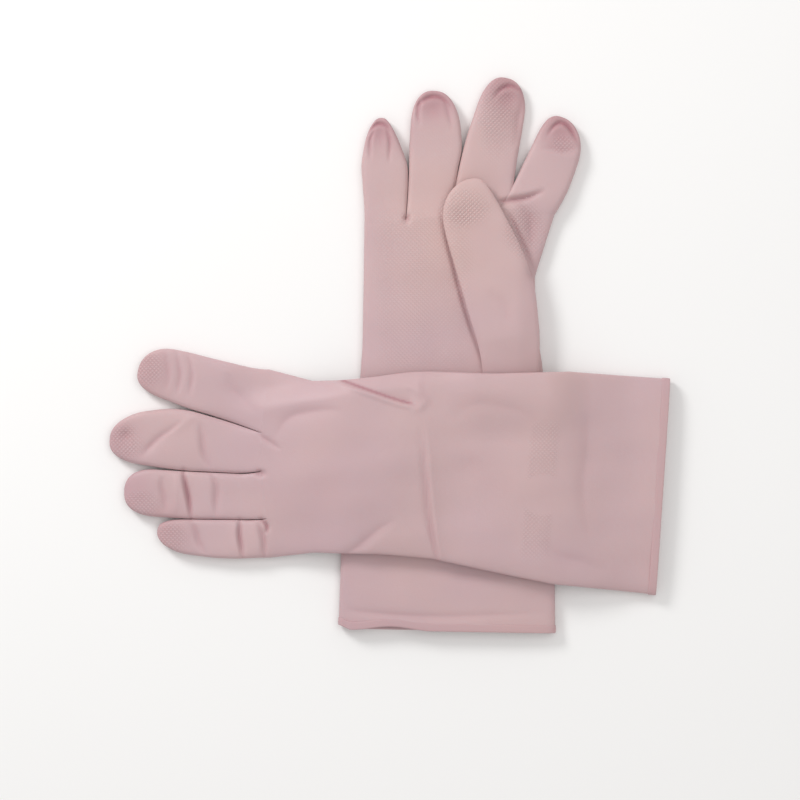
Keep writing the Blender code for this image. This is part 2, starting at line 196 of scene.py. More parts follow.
# Grip: how strongly it stands out, and its places as (along, across, length, breadth) in
# millimetres. The band on the cuff's back runs from its start, which leans, over its length.
PALM_GRIP, BAND_GRIP, PATCH_GRIP = 0.4, 0.5, 0.75
BAND_START, BAND_LEAN, BAND_LENGTH = 62, 0.09, 19.5
PAD_ALONG, PAD_ACROSS, PAD_RADIUS = 71, -15, 11
PATCH_EDGE = 1.6
GRIP_PATCHES = {
    "right": ((300, 28, 21, 10), (234, 43, 14, 11), (247, 10, 9, 12), (284, 66, 5, 6)),
    "left": ((300, 58, 8, 9), (304, -21, 9, 7), (286, -41, 8, 8), (314, 15, 8, 9)),
}

# Where the grip comes in or fades out: (start, length) in millimetres, or in heights of the skin
PALM_FROM_WRIST, PALM_TO_FINGERS, FADED_AT_FINGERS = (148, 14), (238, 12), 0.85
PALM_FROM_LITTLE_SIDE, PALM_TO_THUMB = (-50, 14), (6, 10)
BAND_FROM_LITTLE_SIDE, BAND_TO_INDEX_SIDE = (-60, 16), (23, 8)
BAND_SOFTNESS, PAD_SOFTNESS = 4, 1.5
ROUND_THE_EDGE, FROM_THE_EDGE = (-0.3, 0.3), (0, 0.3)

# Tone: how pink the fingertips are and how far from them, and the warm bell over the palm
TIP_BLUSH = {"right": 0.46, "left": 0.28}
BLUSH_REACH = 26
PALM_WARMTH = {"right": 0.7, "left": 0.0}
WARM_ALONG, WARM_ACROSS, WARM_LENGTH, WARM_BREADTH = 250, 5, 55, 45

# Patterns in the materials. The rubber's grain is drawn coarser than real, to show, and its height
# is a share of the grip's. Clouds spread round the ground tone. The grip's grooves get a painted
# shade, by a share of their depth below the mean diamond, which lightens the diamonds' tops, and an
# even share of the fingertips' colour lies over all.
CLOUD_SIZE, CLOUD_SPREAD, CLOUD_SHIFT = 62.5 * MM, 1.6, -0.55
GRAIN_SIZE, GRAIN_SHARE = 1.111 * MM, 0.12
FIBRE_SIZE, FUZZ_HEIGHT = 0.625 * MM, 0.2 * MM
MEAN_DIAMOND, GROOVE_SHADE, EVEN_BLUSH = 1 / 3, 0.6, 0.1

# Stage. The view's width is in lengths of the pair, and its place is its middle's.
FLOOR_SIZE = 3.0
VIEW_WIDTH = 1.434
VIEW_X, VIEW_Y, VIEW_Z = 5 * MM, -25.2 * MM, 8 * MM
SKY_STRENGTH = 0.6
LAMPS = (
    ("key", (-0.85, 0.85, 0.85), 0.5, 10.5),
    ("fill", (0.4, 0.2, 1.6), 1.4, 6.5),
)


@dataclass
class Crease:
    """A fold in the upper skin, along the parabola from start through middle to end.

    Places are (along, across) in millimetres. Depth is the valley's depth, and also sets the painted
    shade in its bottom; lip is the height of the ridge on its left, seen from its start. The ridge on
    its right is a fifth as high. With a recovery, the skin on the right lies lower by half the depth,
    and comes back over the recovery.
    """

    start: tuple
    middle: tuple
    end: tuple
    width: float
    depth: float
    lip: float = 0.0
    recovery: float = 0.0


@dataclass
class Dent:
    """A soft oval dent with a painted shade in it, or with a negative depth a bulge, which takes
    painted shade away. All in millimetres.
    """

    along: float
    across: float
    length: float
    breadth: float
    depth: float


@dataclass(frozen=True)
class ReliefScale:
    """Height of the slow waves, and the share of its depth that each fold and dent gets."""

    waves: float
    creases: float


@dataclass
class Digit:
    """A finger or thumb as it lies. Across is positive towards the index side.

    Each row is a place along the glove and the places across of the digit's little-side and
    index-side edges there. The tip is a place along and across. All in millimetres.
    """

    name: str
    rows: tuple
    tip: tuple
    dome: float
    height: float = FINGER_HEIGHT
    settle: float = FINGER_SETTLE
    root: tuple = (0.0, 0.0)

    @property
    def reach(self):
        """Distance from root to tip."""
        return math.dist(self.root, np.array(self.tip) * MM)

    @property
    def ahead(self):
        """Unit (along, across) direction from root to tip."""
        return (np.array(self.tip) * MM - self.root) / self.reach


@dataclass
class Glove:
    """How one glove lies on the table. Its origin is the middle of its cuff's edge."""

    origin: tuple
    heading: float
    palm_up: bool
    on_top: bool
    cuff_turn: float
    edge_slant: float
    hand_shift: float
    root_shift: float
    root_widths: tuple
    crotches: tuple
    fingers: tuple
    thumb: Digit
    relief: tuple = ()
    thumb_relief: tuple = ()


def right_glove():
    """The lower glove, its fingers fanned out and its thumb across the palm."""
    middle = node_middle("right_cuff_bead")
    little = Digit(
        name="little",
        rows=((248, -50, -25.2), (262, -51.1, -24.5), (272, -51.7, -24.9), (283, -50.2, -28.6)),
        tip=(299.8, -40.2),
        dome=20,
    )
    ring = Digit(
        name="ring",
        rows=((255, -24.6, 2.6), (269, -24.0, 4.6), (283, -23.7, 7), (292, -23.2, 6.4)),
        tip=(315.6, -9),
        dome=23,
    )
    middle_finger = Digit(
        name="middle",
        rows=((262, 3.4, 37.3), (276, 6.4, 39.3), (290, 10.1, 41.8), (301, 13.8, 43.6)),
        tip=(323, 33.4),
        dome=21,
    )
    index = Digit(
        name="index",
        rows=((241, 29, 61.6), (255, 35.4, 68), (269, 40.9, 73.4), (279, 45.7, 76.6)),
        tip=(300, 66),
        dome=21,
        settle=22 * MM,
    )
    thumb = Digit(
        name="thumb",
        rows=((157, 19.3, 52.6), (171, 14.9, 52.2), (185, 10.6, 51), (199, 6.6, 49.3),
              (213, 2.5, 45.4), (227, -1.6, 39.6), (239, -4.4, 33.4)),
        tip=(263.6, 11.5),
        dome=26,
        height=THUMB_HEIGHT,
        settle=THUMB_SETTLE,
    )
    return Glove(
        origin=(middle[0] + 1.76 * MM, middle[1] - 2.3 * MM),
        heading=math.radians(90),
        palm_up=True,
        on_top=False,
        cuff_turn=math.radians(0.6),
        edge_slant=math.radians(0.4),
        hand_shift=-0.4 * MM,
        root_shift=5.5 * MM,
        root_widths=(24.2 * MM, 27 * MM, 26.8 * MM, 33 * MM),
        crotches=(240 * MM, 243 * MM, 247 * MM),
        fingers=(little, ring, middle_finger, index),
        thumb=thumb,
        relief=RIGHT_RELIEF,
        thumb_relief=RIGHT_THUMB_RELIEF,
    )


def left_glove():
    """The upper glove, its fingers together and its thumb under the palm."""
    wrist = joint_named("left_wrist_fold")["pos_m"]
    little = Digit(
        name="little",
        rows=((237, -52.4, -30.6), (249, -52.9, -30.2), (261, -52.5, -30.1), (272, -51.2, -30.0)),
        tip=(295.2, -37),
        dome=21,
    )
    ring = Digit(
        name="ring",
        rows=((240, -30.3, -3.7), (258, -29.9, -2.9), (276, -29.7, -2.1), (294, -28.6, -1.0)),
        tip=(314.5, -14),
        dome=19,
    )
    middle = Digit(
        name="middle",
        rows=((240, -3.4, 22.5), (252, -2.95, 26.5), (264, -2.35, 30.1), (276, -1.8, 33.4),
              (288, -0.6, 34.6), (300, 1.2, 33.4)),
        tip=(323, 16.6),
        dome=22,
    )
    index = Digit(
        name="index",
        rows=((240, 22.8, 58.4), (252, 26.9, 61.3), (264, 30.8, 64.2), (276, 34.4, 67.3),
              (288, 38.9, 69.8)),
        tip=(306.3, 57.5),
        dome=19,
    )
    thumb = Digit(
        name="thumb",
        rows=((165, 8.5, 43), (185, 4, 40.5), (203, 0.5, 37)),
        tip=(226, 14),
        dome=24,
        height=TUCKED_THUMB_HEIGHT,
        settle=THUMB_SETTLE,
    )
    return Glove(
        origin=(wrist[0] + WRIST_LINE + 0.1 * MM, wrist[1] + 3.09 * MM),
        heading=math.radians(180),
        palm_up=False,
        on_top=True,
        cuff_turn=math.radians(5.2),
        edge_slant=math.radians(-1.4),
        hand_shift=0.8 * MM,
        root_shift=2.6 * MM,
        root_widths=(22.9 * MM, 28.2 * MM, 21.6 * MM, 37.2 * MM),
        crotches=(231 * MM, 234 * MM, 234 * MM),
        fingers=(little, ring, middle, index),
        thumb=thumb,
        relief=LEFT_RELIEF,
    )


# Folds and dents of the lower glove's fingers and palm
RIGHT_RELIEF = (
    Crease((274, -46.5), (285, -46.6), (293.5, -43.5), 1.3, 1.1, 0.3),
    Crease((293.5, -37.5), (285, -35.4), (272, -35.8), 1.3, 1.1, 0.3),
    Crease((290, -47.5), (296.4, -41), (291, -34), 1.3, 1.8, 0.8),
    Dent(289, -41, 6, 4, 1.1),
    Crease((304, -21), (312.2, -10), (304.5, 2.2), 1.4, 2.0, 0.9),
    Crease((295, -17), (303, -18.8), (311, -17.4), 1.3, 1.5, 0.4),
    Crease((309, -4), (302, -0.6), (292, 0.6), 1.6, 0.8, 0.2),
    Dent(304.5, -9.5, 6, 8, 1.2),
    Crease((310, 25), (318.4, 34), (311.5, 44.5), 1.5, 2.0, 0.9),
    Crease((315, 41), (300, 41.5), (282, 37), 4.6, 2.2, 0.0),
    Dent(311, 34.5, 5, 6.5, 1.1),
    Dent(300, 33, 14, 7, 1.0),
    Dent(236, 47, 12, 6, 1.0),
    Crease((288, 56), (296.2, 66.5), (280, 76.5), 1.4, 2.0, 0.8),
    Crease((283, 53), (281.3, 65), (282, 75.5), 2.2, 1.1, 0.6),
    Dent(289, 66, 5, 8, 1.2),
    Crease((257.5, 56), (252, 40), (250.5, 26), 1.7, 2.6, 1.0),
    Crease((250, 40), (238, 46.5), (222, 48), 4.0, 1.4, 0.2),
    Dent(240.8, -25.2, 2.4, 1.8, 2.4),
    Crease((150, 21.6), (200, 5.4), (247, -6.4), 1.3, 1.5, 0.2),
    Crease((246, 32), (230, 41.5), (206, 50.5), 1.5, 1.4, 0.0),
    Crease((208, -24), (206, 0), (204, 8), 9.0, 0.3, 0.0),
    Crease((44, -58), (37, 0), (30, 50), 6.5, 1.2, 0.0),
    Crease((13, -62), (9.5, -20), (11, 58), 2.6, 0.8, 0.2),
)
RIGHT_THUMB_RELIEF = (
    Crease((214, 45), (208, 47), (202, 48), 2.0, 1.0, 0.0),
    Crease((199, 22), (190, 30), (179, 35), 4.0, 0.6, 0.2),
    Crease((244, -4), (250, 12), (246, 26), 4.0, -0.6, 0.0),
    Dent(235, 14, 12, 11, 0.5),
)

# Folds and dents of the upper glove
LEFT_RELIEF = (
    Crease((277, 41), (275, 53), (277.5, 68), 1.7, 0.9, 0.4),
    Crease((284, 42), (282, 54), (284, 69), 1.7, 1.0, 0.45),
    Crease((291, 44), (289, 55), (291, 70), 1.7, 0.8, 0.35),
    Crease((254, 56), (248, 43), (234, 31), 5.0, 0.9, 0.0),
    Crease((306, 6), (295, 16), (280, 28), 2.6, 1.8, 0.0),
    Crease((268, 33), (284, 23), (300, 13), 2.8, -0.7, 0.0),
    Crease((270, 27), (268, 12), (262.5, -2), 2.4, 1.3, 0.5),
    Dent(313, 19, 3.2, 4, 1.3),
    Crease((280, 1), (277.4, -15), (274.5, -32), 1.5, 3.0, 1.2),
    Crease((292, -4), (291.5, -15), (289.5, -26), 2.4, 1.2, 0.4),
    Crease((286, -29), (283.8, -16), (284.5, -2), 2.2, -0.8, 0.0),
    Crease((263, -2), (260.6, -15), (260.5, -29), 2.3, 1.4, 0.6),
    Crease((276, -29), (271.5, -40), (266, -51), 2.3, 1.4, 0.5),
    Crease((247, -28), (246.4, -41), (245, -54), 1.5, 2.3, 1.1),
    Crease((236.5, -29.5), (233.3, -41), (232, -54), 1.9, 1.7, 0.9),
    Dent(234.6, -3, 2.6, 1.8, 2.4),
    Crease((236, -28.5), (231.6, -33), (231.5, -39), 1.4, 2.2, 0.6),
    Crease((236, 21.5), (230.5, 16), (222, 11), 2.0, 1.0, 0.2),
    Crease((130.5, -61), (136.8, -24), (141.5, 26), 1.9, 1.2, 2.0),
    Crease((140, 60), (139.5, 46), (139, 30), 3.6, 0.8, 0.1),
    Crease((126, 27), (100, 38), (74, 26), 6.5, 0.8, 0.0),
    Dent(112, 2, 9, 7, 0.5),
    Dent(98, -11, 10, 8, 0.5),
    Dent(196, -12, 14, 12, 0.5),
    Crease((190, -54), (176, -43), (156, -29), 3.4, 1.0, 0.5),
    Crease((226, 17), (212, 32), (186, 33), 4.4, 1.4, 0.0),
    Crease((44, 32), (46, -4), (44, -40), 7.0, 1.0, 0.0),
    Crease((72, -42), (54, -53), (32, -60), 6.5, 1.1, 0.0),
    Crease((193, 54), (168, 44), (143.5, 37), 1.2, 3.2, 0.8, 24.0),
    Crease((151, 48), (138.4, 40), (149, 31.5), 1.8, -1.3, 0.0),
)


def glove_on(side):
    """The right glove or the left one."""
    return right_glove() if side == "right" else left_glove()


def joint_named(name):
    """The frame's joint of that name."""
    return next(joint for joint in frame["joints"] if joint["name"] == name)


def smooth(x):
    """0 below 0, 1 above 1, and a smooth step between."""
    x = np.clip(x, 0.0, 1.0)
    return x * x * (3 - 2 * x)


def ramp(x, start, length):
    """A smooth step from 0 to 1 over the length."""
    return smooth((x - start) / length)


def through_three(v, at, values):
    """The parabola through three values."""
    total = 0.0
    for i in range(3):
        j, k = (n for n in range(3) if n != i)
        total += values[i] * (v - at[j]) * (v - at[k]) / ((at[i] - at[j]) * (at[i] - at[k]))
    return total


def curve(x, at, values):
    """A smooth curve through values at stations, straight on past its ends."""
    slopes = np.gradient(values, at)
    i = np.clip(np.searchsorted(at, x) - 1, 0, len(at) - 2)
    step = at[i + 1] - at[i]
    u = (np.clip(x, at[0], at[-1]) - at[i]) / step
    a, b, m, n = values[i], values[i + 1], slopes[i] * step, slopes[i + 1] * step
    past = np.minimum(x - at[0], 0) * slopes[0] + np.maximum(x - at[-1], 0) * slopes[-1]
    bend = u * (1 - u) * ((1 - u) * (m + a - b) + u * (b - a - n))
    return a + (b - a) * u + bend + past


# The flattened section


def unit_ring(columns, squareness):
    """A closed superellipse over the given columns: top, index side, underside, little side. The
    powers of its height and of its share across add up to 1."""
    up = np.maximum(1 - np.abs(columns) ** squareness, 0.0) ** (1 / squareness)
    top = np.stack([columns, up], 1)
    start = math.acos(EDGE_COLUMN ** (squareness / 2))
    turn = np.linspace(start, -start, SIDE_STEPS + 1)[1:-1]
    across = np.cos(turn) ** (2 / squareness)
    side = np.stack([across, np.sign(turn) * np.abs(np.sin(turn)) ** (2 / squareness)], 1)
    return np.concatenate([top, side, top[::-1] * (1, -1), side[::-1] * (-1, 1)])


def lift(up, height):
    """Height above a tube's resting plane of the unit height up: in proportion above the edge, and
    below it too, but pressed flat on the plane."""
    edge = EDGE_SHARE * height
    above = edge + up * (height - edge)
    below = np.maximum(edge * (1 + UNDERSIDE_PRESS * up), 0.0)
    return np.where(up > 0, above, below)


# The sleeve: cuff and hand. A grid's last axis holds along, across, height and up.


def sleeve_across(glove, q, along):
    """Place across the glove of the share q of the half width: the middle line, plus that share,
    plus a swell on the thumb's side beside its hole."""
    crotch = min(glove.crotches)
    at = [station for station, _ in SLEEVE_WIDTHS] + [crotch]
    widths = [width for _, width in SLEEVE_WIDTHS] + [sum(glove.root_widths)]
    middle = np.interp(along, (PALM_END, crotch), (glove.hand_shift, glove.root_shift))
    thumb = THUMB_HOLE_START + THUMB_HOLE_LENGTH / 2
    swell = THUMB_SWELL * (1 - smooth(np.abs(along - thumb) / THUMB_SWELL_LENGTH))
    return middle + q * np.interp(along, at, widths) / 2 + swell * smooth(q)


def turn_cuff(glove, along, across):
    """Turns the cuff in plan about the middle of the wrist, and slants its edge."""
    back = WRIST_LINE - along
    past = 0.5 * (back + np.sqrt(back**2 + (WRIST_TURN_LENGTH / 2) ** 2))
    turned = glove.cuff_turn * smooth(0.5 + back / WRIST_TURN_LENGTH)
    slant = glove.edge_slant * smooth(back / WRIST_LINE)
    shift = past * math.tan(glove.cuff_turn)
    return along - across * np.sin(turned + slant), across * np.cos(turned) - shift


def place(glove, grid):
    """World points from a grid in the glove's own frame."""
    cos, sin = math.cos(glove.heading), math.sin(glove.heading)
    x = glove.origin[0] + grid[..., 0] * cos + grid[..., 1] * sin
    y = glove.origin[1] + grid[..., 0] * sin - grid[..., 1] * cos
    return np.stack([x, y, grid[..., 2]], -1)


def knuckle_columns(glove):
    """Shares of the half width of the columns, so that each crotch falls on a column."""
    half = sum(glove.root_widths) / 2
    edges = (np.cumsum((0, *glove.root_widths)) - half) / half
    edges[0], edges[-1] = -EDGE_COLUMN, EDGE_COLUMN
    spans = [
        np.linspace(edges[i], edges[i + 1], FINGER_COLUMNS, endpoint=False) for i in range(4)
    ]
    return np.concatenate([*spans, [EDGE_COLUMN]])


def knuckle_line(glove, q):
    """Place along the glove of the fingers' roots, at a share of the half width."""
    half = sum(glove.root_widths) / 2
    edges = (np.cumsum(glove.root_widths)[:3] - half) / half
    first, _, last = glove.crotches
    ends = first - LITTLE_EDGE_BACK, last - INDEX_EDGE_BACK
    return np.interp(q, (-1, *edges, 1), (ends[0], *glove.crotches, ends[1]))


def sleeve_grid(glove, stations, swell=0.0):
    """Rings of the sleeve at the stations. Towards the fingers they bend to the knuckle line."""
    ring = unit_ring(knuckle_columns(glove), SLEEVE_SQUARENESS)
    q, up = ring[:, 0], ring[:, 1]
    start = THUMB_HOLE_START + THUMB_HOLE_LENGTH
    end = min(glove.crotches)
    rings = []
    for station in stations:
        bend = smooth((station - start) / (end - start))
        along = station + bend * (knuckle_line(glove, q) - end)
        across = sleeve_across(glove, q, station) + swell * np.sign(q) * np.abs(q) ** SWELL_POWER
        if glove.palm_up:
            along = along + mouth_shift(station, across, up)
        along, across = turn_cuff(glove, along, across)
        height = lift(up, HAND_HEIGHT) + swell * up + support(glove, along, across)
        rings.append(np.stack([along, across, np.maximum(height, 0), up], -1))
    return np.array(rings)


def mouth_shift(station, across, up):
    """How far the lower glove's mouth hangs open: its upper edge is drawn back a little near one
    end, where its corner is rounded too."""
    near_middle = smooth(1 - np.abs(across - MOUTH_MIDDLE) / MOUTH_HALF_WIDTH)
    near_corner = smooth((-across - CORNER_START) / CORNER_WIDTH)
    drawn = MOUTH_DRAWN * near_middle * smooth(up) + CORNER_DRAWN * near_corner
    return drawn * (1 - smooth(station / MOUTH_LENGTH))


# What a glove rests on


def support(glove, along, across):
    """Height of what the glove's sleeve and fingers rest on."""
    if not glove.on_top:
        return np.zeros_like(along)
    over_own_thumb = own_thumb_rise(glove, along, across)
    return LAYER_GAP + crossing_rise(along) + root_rise(along, across) + over_own_thumb


def crossing_rise(along):
    """The step up on to the lower glove's sleeve and down again past it."""
    up = smooth((along - CLIMB_START) / CLIMB_LENGTH)
    down = smooth((along - DROP_START) / DROP_LENGTH)
    return (HAND_HEIGHT + LAYER_GAP) * up * (1 - down)


def root_rise(along, across):
    """The low rise over the root of the lower glove's thumb, near the index side."""
    up = smooth((along - THUMB_RISE_START) / THUMB_RISE_RAMP)
    down = smooth((along - THUMB_RISE_END + THUMB_RISE_RAMP) / THUMB_RISE_RAMP)
    side = smooth((across - THUMB_RISE_ACROSS) / THUMB_RISE_WIDTH)
    return THUMB_RISE * up * (1 - down) * side


def own_thumb_rise(glove, along, across):
    """The rise over the thumb that is folded under the palm. It falls off slowly to the little
    side, where the film is drawn tight over it."""
    thumb = rooted_thumb(glove)
    distance, aside = own_place(thumb, along, across)
    low, high = edges_at(thumb, distance)
    up = smooth((along - THUMB_HOLE_START - THUMB_HOLE_LENGTH) / TUCK_ROOT_RAMP + 1)
    down = smooth((distance - thumb.reach + THUMB_SETTLE / 2) / TUCK_TIP_RAMP)
    little_side = smooth((low - TUCK_GAP - aside) / TUCK_LITTLE_RAMP)
    index_side = smooth((aside - high - TUCK_GAP) / TUCK_INDEX_RAMP)
    tall = TUCKED_THUMB_HEIGHT + TUCK_GAP
    return tall * up * (1 - down) * (1 - little_side) * (1 - index_side)


def digit_support(glove, digit, along, across):
    """Height of what a digit rests on. A thumb over the palm droops at the palm's edge."""
    if digit.name != "thumb":
        return support(glove, along, across)
    if glove.palm_up:
        droop = THUMB_DROOP * smooth((across - DROOP_START) / DROOP_WIDTH)
        return HAND_HEIGHT + LAYER_GAP - droop
    return LAYER_GAP + crossing_rise(along)


# Fingers and thumb


def rooted_fingers(glove):
    """The fingers, each with its root set by the knuckle line and its neighbours' widths."""
    half = sum(glove.root_widths) / 2
    starts = np.cumsum((0, *glove.root_widths)) - half
    for number, finger in enumerate(glove.fingers):
        middle = (starts[number] + starts[number + 1]) / 2
        finger.root = (float(knuckle_line(glove, middle / half)), glove.root_shift + middle)
    return glove.fingers


def thumb_hole_columns():
    """First and last column of the thumb's hole: as wide as a finger, near the index side."""
    last = TOP_END - FINGER_COLUMNS // 8
    return last - FINGER_COLUMNS, last


def rooted_thumb(glove):
    """The thumb, with its root set at the middle of its hole."""
    first, last = thumb_hole_columns()
    q = knuckle_columns(glove)[[first, last]].mean()
    along = THUMB_HOLE_START + THUMB_HOLE_LENGTH / 2
    glove.thumb.root = (along, float(sleeve_across(glove, q, along)))
    return glove.thumb


def own_place(digit, along, across):
    """Distance ahead of the digit's root and aside from its middle line."""
    ahead, aside = digit.ahead
    x, y = along - digit.root[0], across - digit.root[1]
    return x * ahead + y * aside, y * ahead - x * aside


def edges_at(digit, distance):
    """Places of the digit's two edges aside from its middle line, before its tip is rounded."""
    rows = np.array(digit.rows) * MM
    low = curve(distance, *own_place(digit, rows[:, 0], rows[:, 1]))
    high = curve(distance, *own_place(digit, rows[:, 0], rows[:, 2]))
    return low, high


def digit_ring(glove, digit, v):
    """The digit's section at the share v of its length: an ellipse dome rounds its tip.

    The section lies along the knuckles at the root, and turns square to the digit's middle line.
    Its skew moves its edges along the outline, so its place is found in a few rounds.
    """
    columns = np.linspace(-EDGE_COLUMN, EDGE_COLUMN, FINGER_COLUMNS + 1)
    ring = unit_ring(columns, DIGIT_SQUARENESS)
    past = np.clip((v - 1) * digit.reach / (digit.dome * MM) + 1, 0.0, 1.0)
    rounding = (1 - past**TIP_SQUARENESS) ** (1 / TIP_SQUARENESS)
    ahead, aside = digit.ahead
    skew = aside / ahead * (1 - smooth(v * digit.reach / digit.settle))
    distance, offset = v * digit.reach, 0.0
    for _ in range(SKEW_ROUNDS):
        low, high = edges_at(digit, distance + offset * skew)
        middle, half = (low + high) / 2 * (1 - past**2), (high - low) / 2 * rounding
        offset = middle + ring[:, 0] * half
    distance = distance + offset * skew
    along = digit.root[0] + distance * ahead - offset * aside
    across = digit.root[1] + distance * aside + offset * ahead
    tall = digit.height * rounding**TIP_THINNING
    edge_drop = EDGE_SHARE * (digit.height - tall)
    height = lift(ring[:, 1], tall) + edge_drop + digit_support(glove, digit, along, across)
    return np.stack([along, across, height, ring[:, 1]], -1)


def shares(digit, start, end):
    """Shares of the digit's length for the rings between two distances from its root."""
    low, high = start / digit.reach, end / digit.reach
    dome = 1 - digit.dome * MM / digit.reach
    last = min(high, max(dome, low))
    count = max(2, round((last - low) * digit.reach / ROW_STEP) + 1)
    shaft = np.linspace(low, last, count)
    if high < 1:
        return shaft
    turns = np.sin(np.linspace(0, math.pi / 2, DOME_RINGS + 1))[1:]
    return np.concatenate([shaft, last + (1 - last) * turns])


def grown_grid(glove, digit, root, start, end):
    """Rings from the root loop into the digit's own section, between two distances."""
    rings = []
    for v in shares(digit, start, end):
        own = smooth(v * digit.reach / digit.settle)
        rings.append(root * (1 - own) + digit_ring(glove, digit, v) * own)
    grid = np.array(rings)
    if end >= digit.reach:
        grid[-1] = grid[-1].mean(0)
    return grid


def web_path(knuckles, crotch):
    """Points down the web between two fingers, without its ends."""
    step = crotch * FINGER_COLUMNS
    top, under = knuckles[step], knuckles[UNDER_END - step]
    share = np.linspace(0, 1, SIDE_STEPS + 1)[1:-1, None]
    back = np.array([WEB_DEPTH, 0, 0, 0])
    return top * (1 - share) + under * share - back * np.sin(math.pi * share)


def finger_root(knuckles, number):
    """The loop where a finger leaves the knuckles: top, index side, underside, little side."""
    start, end = number * FINGER_COLUMNS, (number + 1) * FINGER_COLUMNS
    top = knuckles[start : end + 1]
    under = knuckles[UNDER_END - end : UNDER_END - start + 1]
    index_side = knuckles[TOP_END + 1 : UNDER_START]
    little_side = knuckles[UNDER_END + 1 :]
    if number < 3:
        index_side = web_path(knuckles, number + 1)
    if number > 0:
        little_side = web_path(knuckles, number)[::-1]
    return np.concatenate([top, index_side, under, little_side])


def thumb_root(glove, sleeve, first_row):
    """The loop round the thumb's hole in the palm, and the number of its first column.

    A thumb folded over the palm has its outer side above, and leaves the hole's cuff end there.
    A thumb folded under the palm has its outer side below.
    """
    columns = np.arange(thumb_hole_columns()[0], thumb_hole_columns()[1] + 1)
    if not glove.palm_up:
        columns = UNDER_END - columns
    block = sleeve[first_row : first_row + SIDE_STEPS + 1][:, columns]
    if not glove.palm_up:
        block = block[::-1]
    sides = (block[0], block[1:-1, -1], block[-1][::-1], block[1:-1, 0][::-1])
    return np.concatenate(sides), columns.min()


# Relief of the upper skin


def crease_height(mark, along, across):
    """Height of a crease, and the painted shade in its bottom, over places in millimetres.

    Each place is measured from the nearest point of a parabola: its run is that point's share of
    the parabola, and its left is its distance to the left. The line wanders a little, as a sine of
    its run, and the painted shade is deepest in a bell round it.
    """
    u = np.linspace(0, 1, CREASE_POINTS)[:, None]
    line = through_three(u, (0, 0.5, 1), np.array([mark.start, mark.middle, mark.end], float))
    reach = 9 * mark.width + 2.5 * mark.recovery
    low, high = line.min(0) - reach, line.max(0) + reach
    near = (along > low[0]) & (along < high[0]) & (across > low[1]) & (across < high[1])
    height, painted_shade = np.zeros_like(along), np.zeros_like(along)
    points = np.stack([along[near], across[near]], -1)
    if not len(points):
        return height, painted_shade
    first, step = line[:-1], np.diff(line, axis=0)
    to_point = points[:, None] - first
    share = np.clip((to_point * step).sum(-1) / (step**2).sum(-1), 0, 1)
    gap = to_point - share[..., None] * step
    distance = np.linalg.norm(gap, axis=-1)
    best = distance.argmin(1)
    rows = np.arange(len(points))
    run = (best + share[rows, best]) / len(step)
    gap, step = gap[rows, best], step[best]
    side = np.where(step[:, 0] * gap[:, 1] > step[:, 1] * gap[:, 0], 1.0, -1.0)
    sway = np.sin(WANDER_TURN * run + mark.start[0]) * np.sin(math.pi * run)
    left = side * distance[rows, best] + CREASE_WANDER * mark.width * sway
    section = stepped_section if mark.recovery else valley_section
    fade, d, profile = section(mark, run, left)
    height[near] = fade * profile
    # painted shade in the valley's bottom: a bell round the line, more for deep narrow creases
    painted_shade[near] = fade * np.exp(-2.2 * d**2) * max(mark.depth, 0) / (2.5 * mark.width)
    return height, painted_shade


def stepped_section(mark, run, left):
    """Fade along a crease with a recovery, places in widths left of it, and heights there.

    A bell of a valley has a bell of a lip on its left. On its right the skin steps down, and comes
    back as an exponential over the recovery. Only the crease's last eighth and first twelfth fade.
    """
    fade = smooth((1 - run) / 0.12) * smooth(run / 0.08)
    right = np.maximum(-left, 0)
    d = left / mark.width
    lowered = 0.55 * smooth(right / mark.width) * np.exp(-right / mark.recovery)
    lip = np.exp(-((d - 1.9) ** 2))
    return fade, d, mark.lip * lip - mark.depth * (lowered + 0.6 * np.exp(-2 * d**2))


def valley_section(mark, run, left):
    """Fade along a plain crease, places in widths left of it, and heights there.

    The valley is an exponential of the distance, rounded at its bottom, and is narrower and
    shallower towards its ends, as a sine of the run. The lip rises within two widths and falls
    away slowly behind, lower on the right.
    """
    fade = np.sin(math.pi * np.clip(run, 0, 1)) ** 0.8
    d = left / (mark.width * (0.6 + 0.4 * fade))
    valley = np.exp(0.35 - np.sqrt(2 * d**2 + 0.12))
    lip = np.where(left > 0, mark.lip, 0.2 * mark.lip) * smooth(np.abs(d) / 2)
    lip *= np.exp(-np.maximum(np.abs(d) - 1.6, 0) / 2.4)
    return fade, d, lip - mark.depth * valley


def dent_height(dent, along, across):
    """Height of a dent, a bell over its oval, and the painted shade in it, which a bulge makes
    negative.
    """
    x, y = (along - dent.along) / dent.length, (across - dent.across) / dent.breadth
    bell = dent.depth * np.exp(-(x**2) - y**2)
    return -bell, DENT_SHADE * bell


def unevenness(along, across, seed):
    """Slow waves of a limp film: a few sines of random heading and phase, heights about 1."""
    random = np.random.default_rng(seed)
    total = np.zeros_like(along)
    for wave_length in WAVE_LENGTHS:
        heading, phase = random.uniform(0, 2 * math.pi, 2)
        way = along * math.cos(heading) + across * math.sin(heading)
        share = wave_length / max(WAVE_LENGTHS)
        total += share * np.sin(2 * math.pi * way / wave_length + phase)
    return total / 2


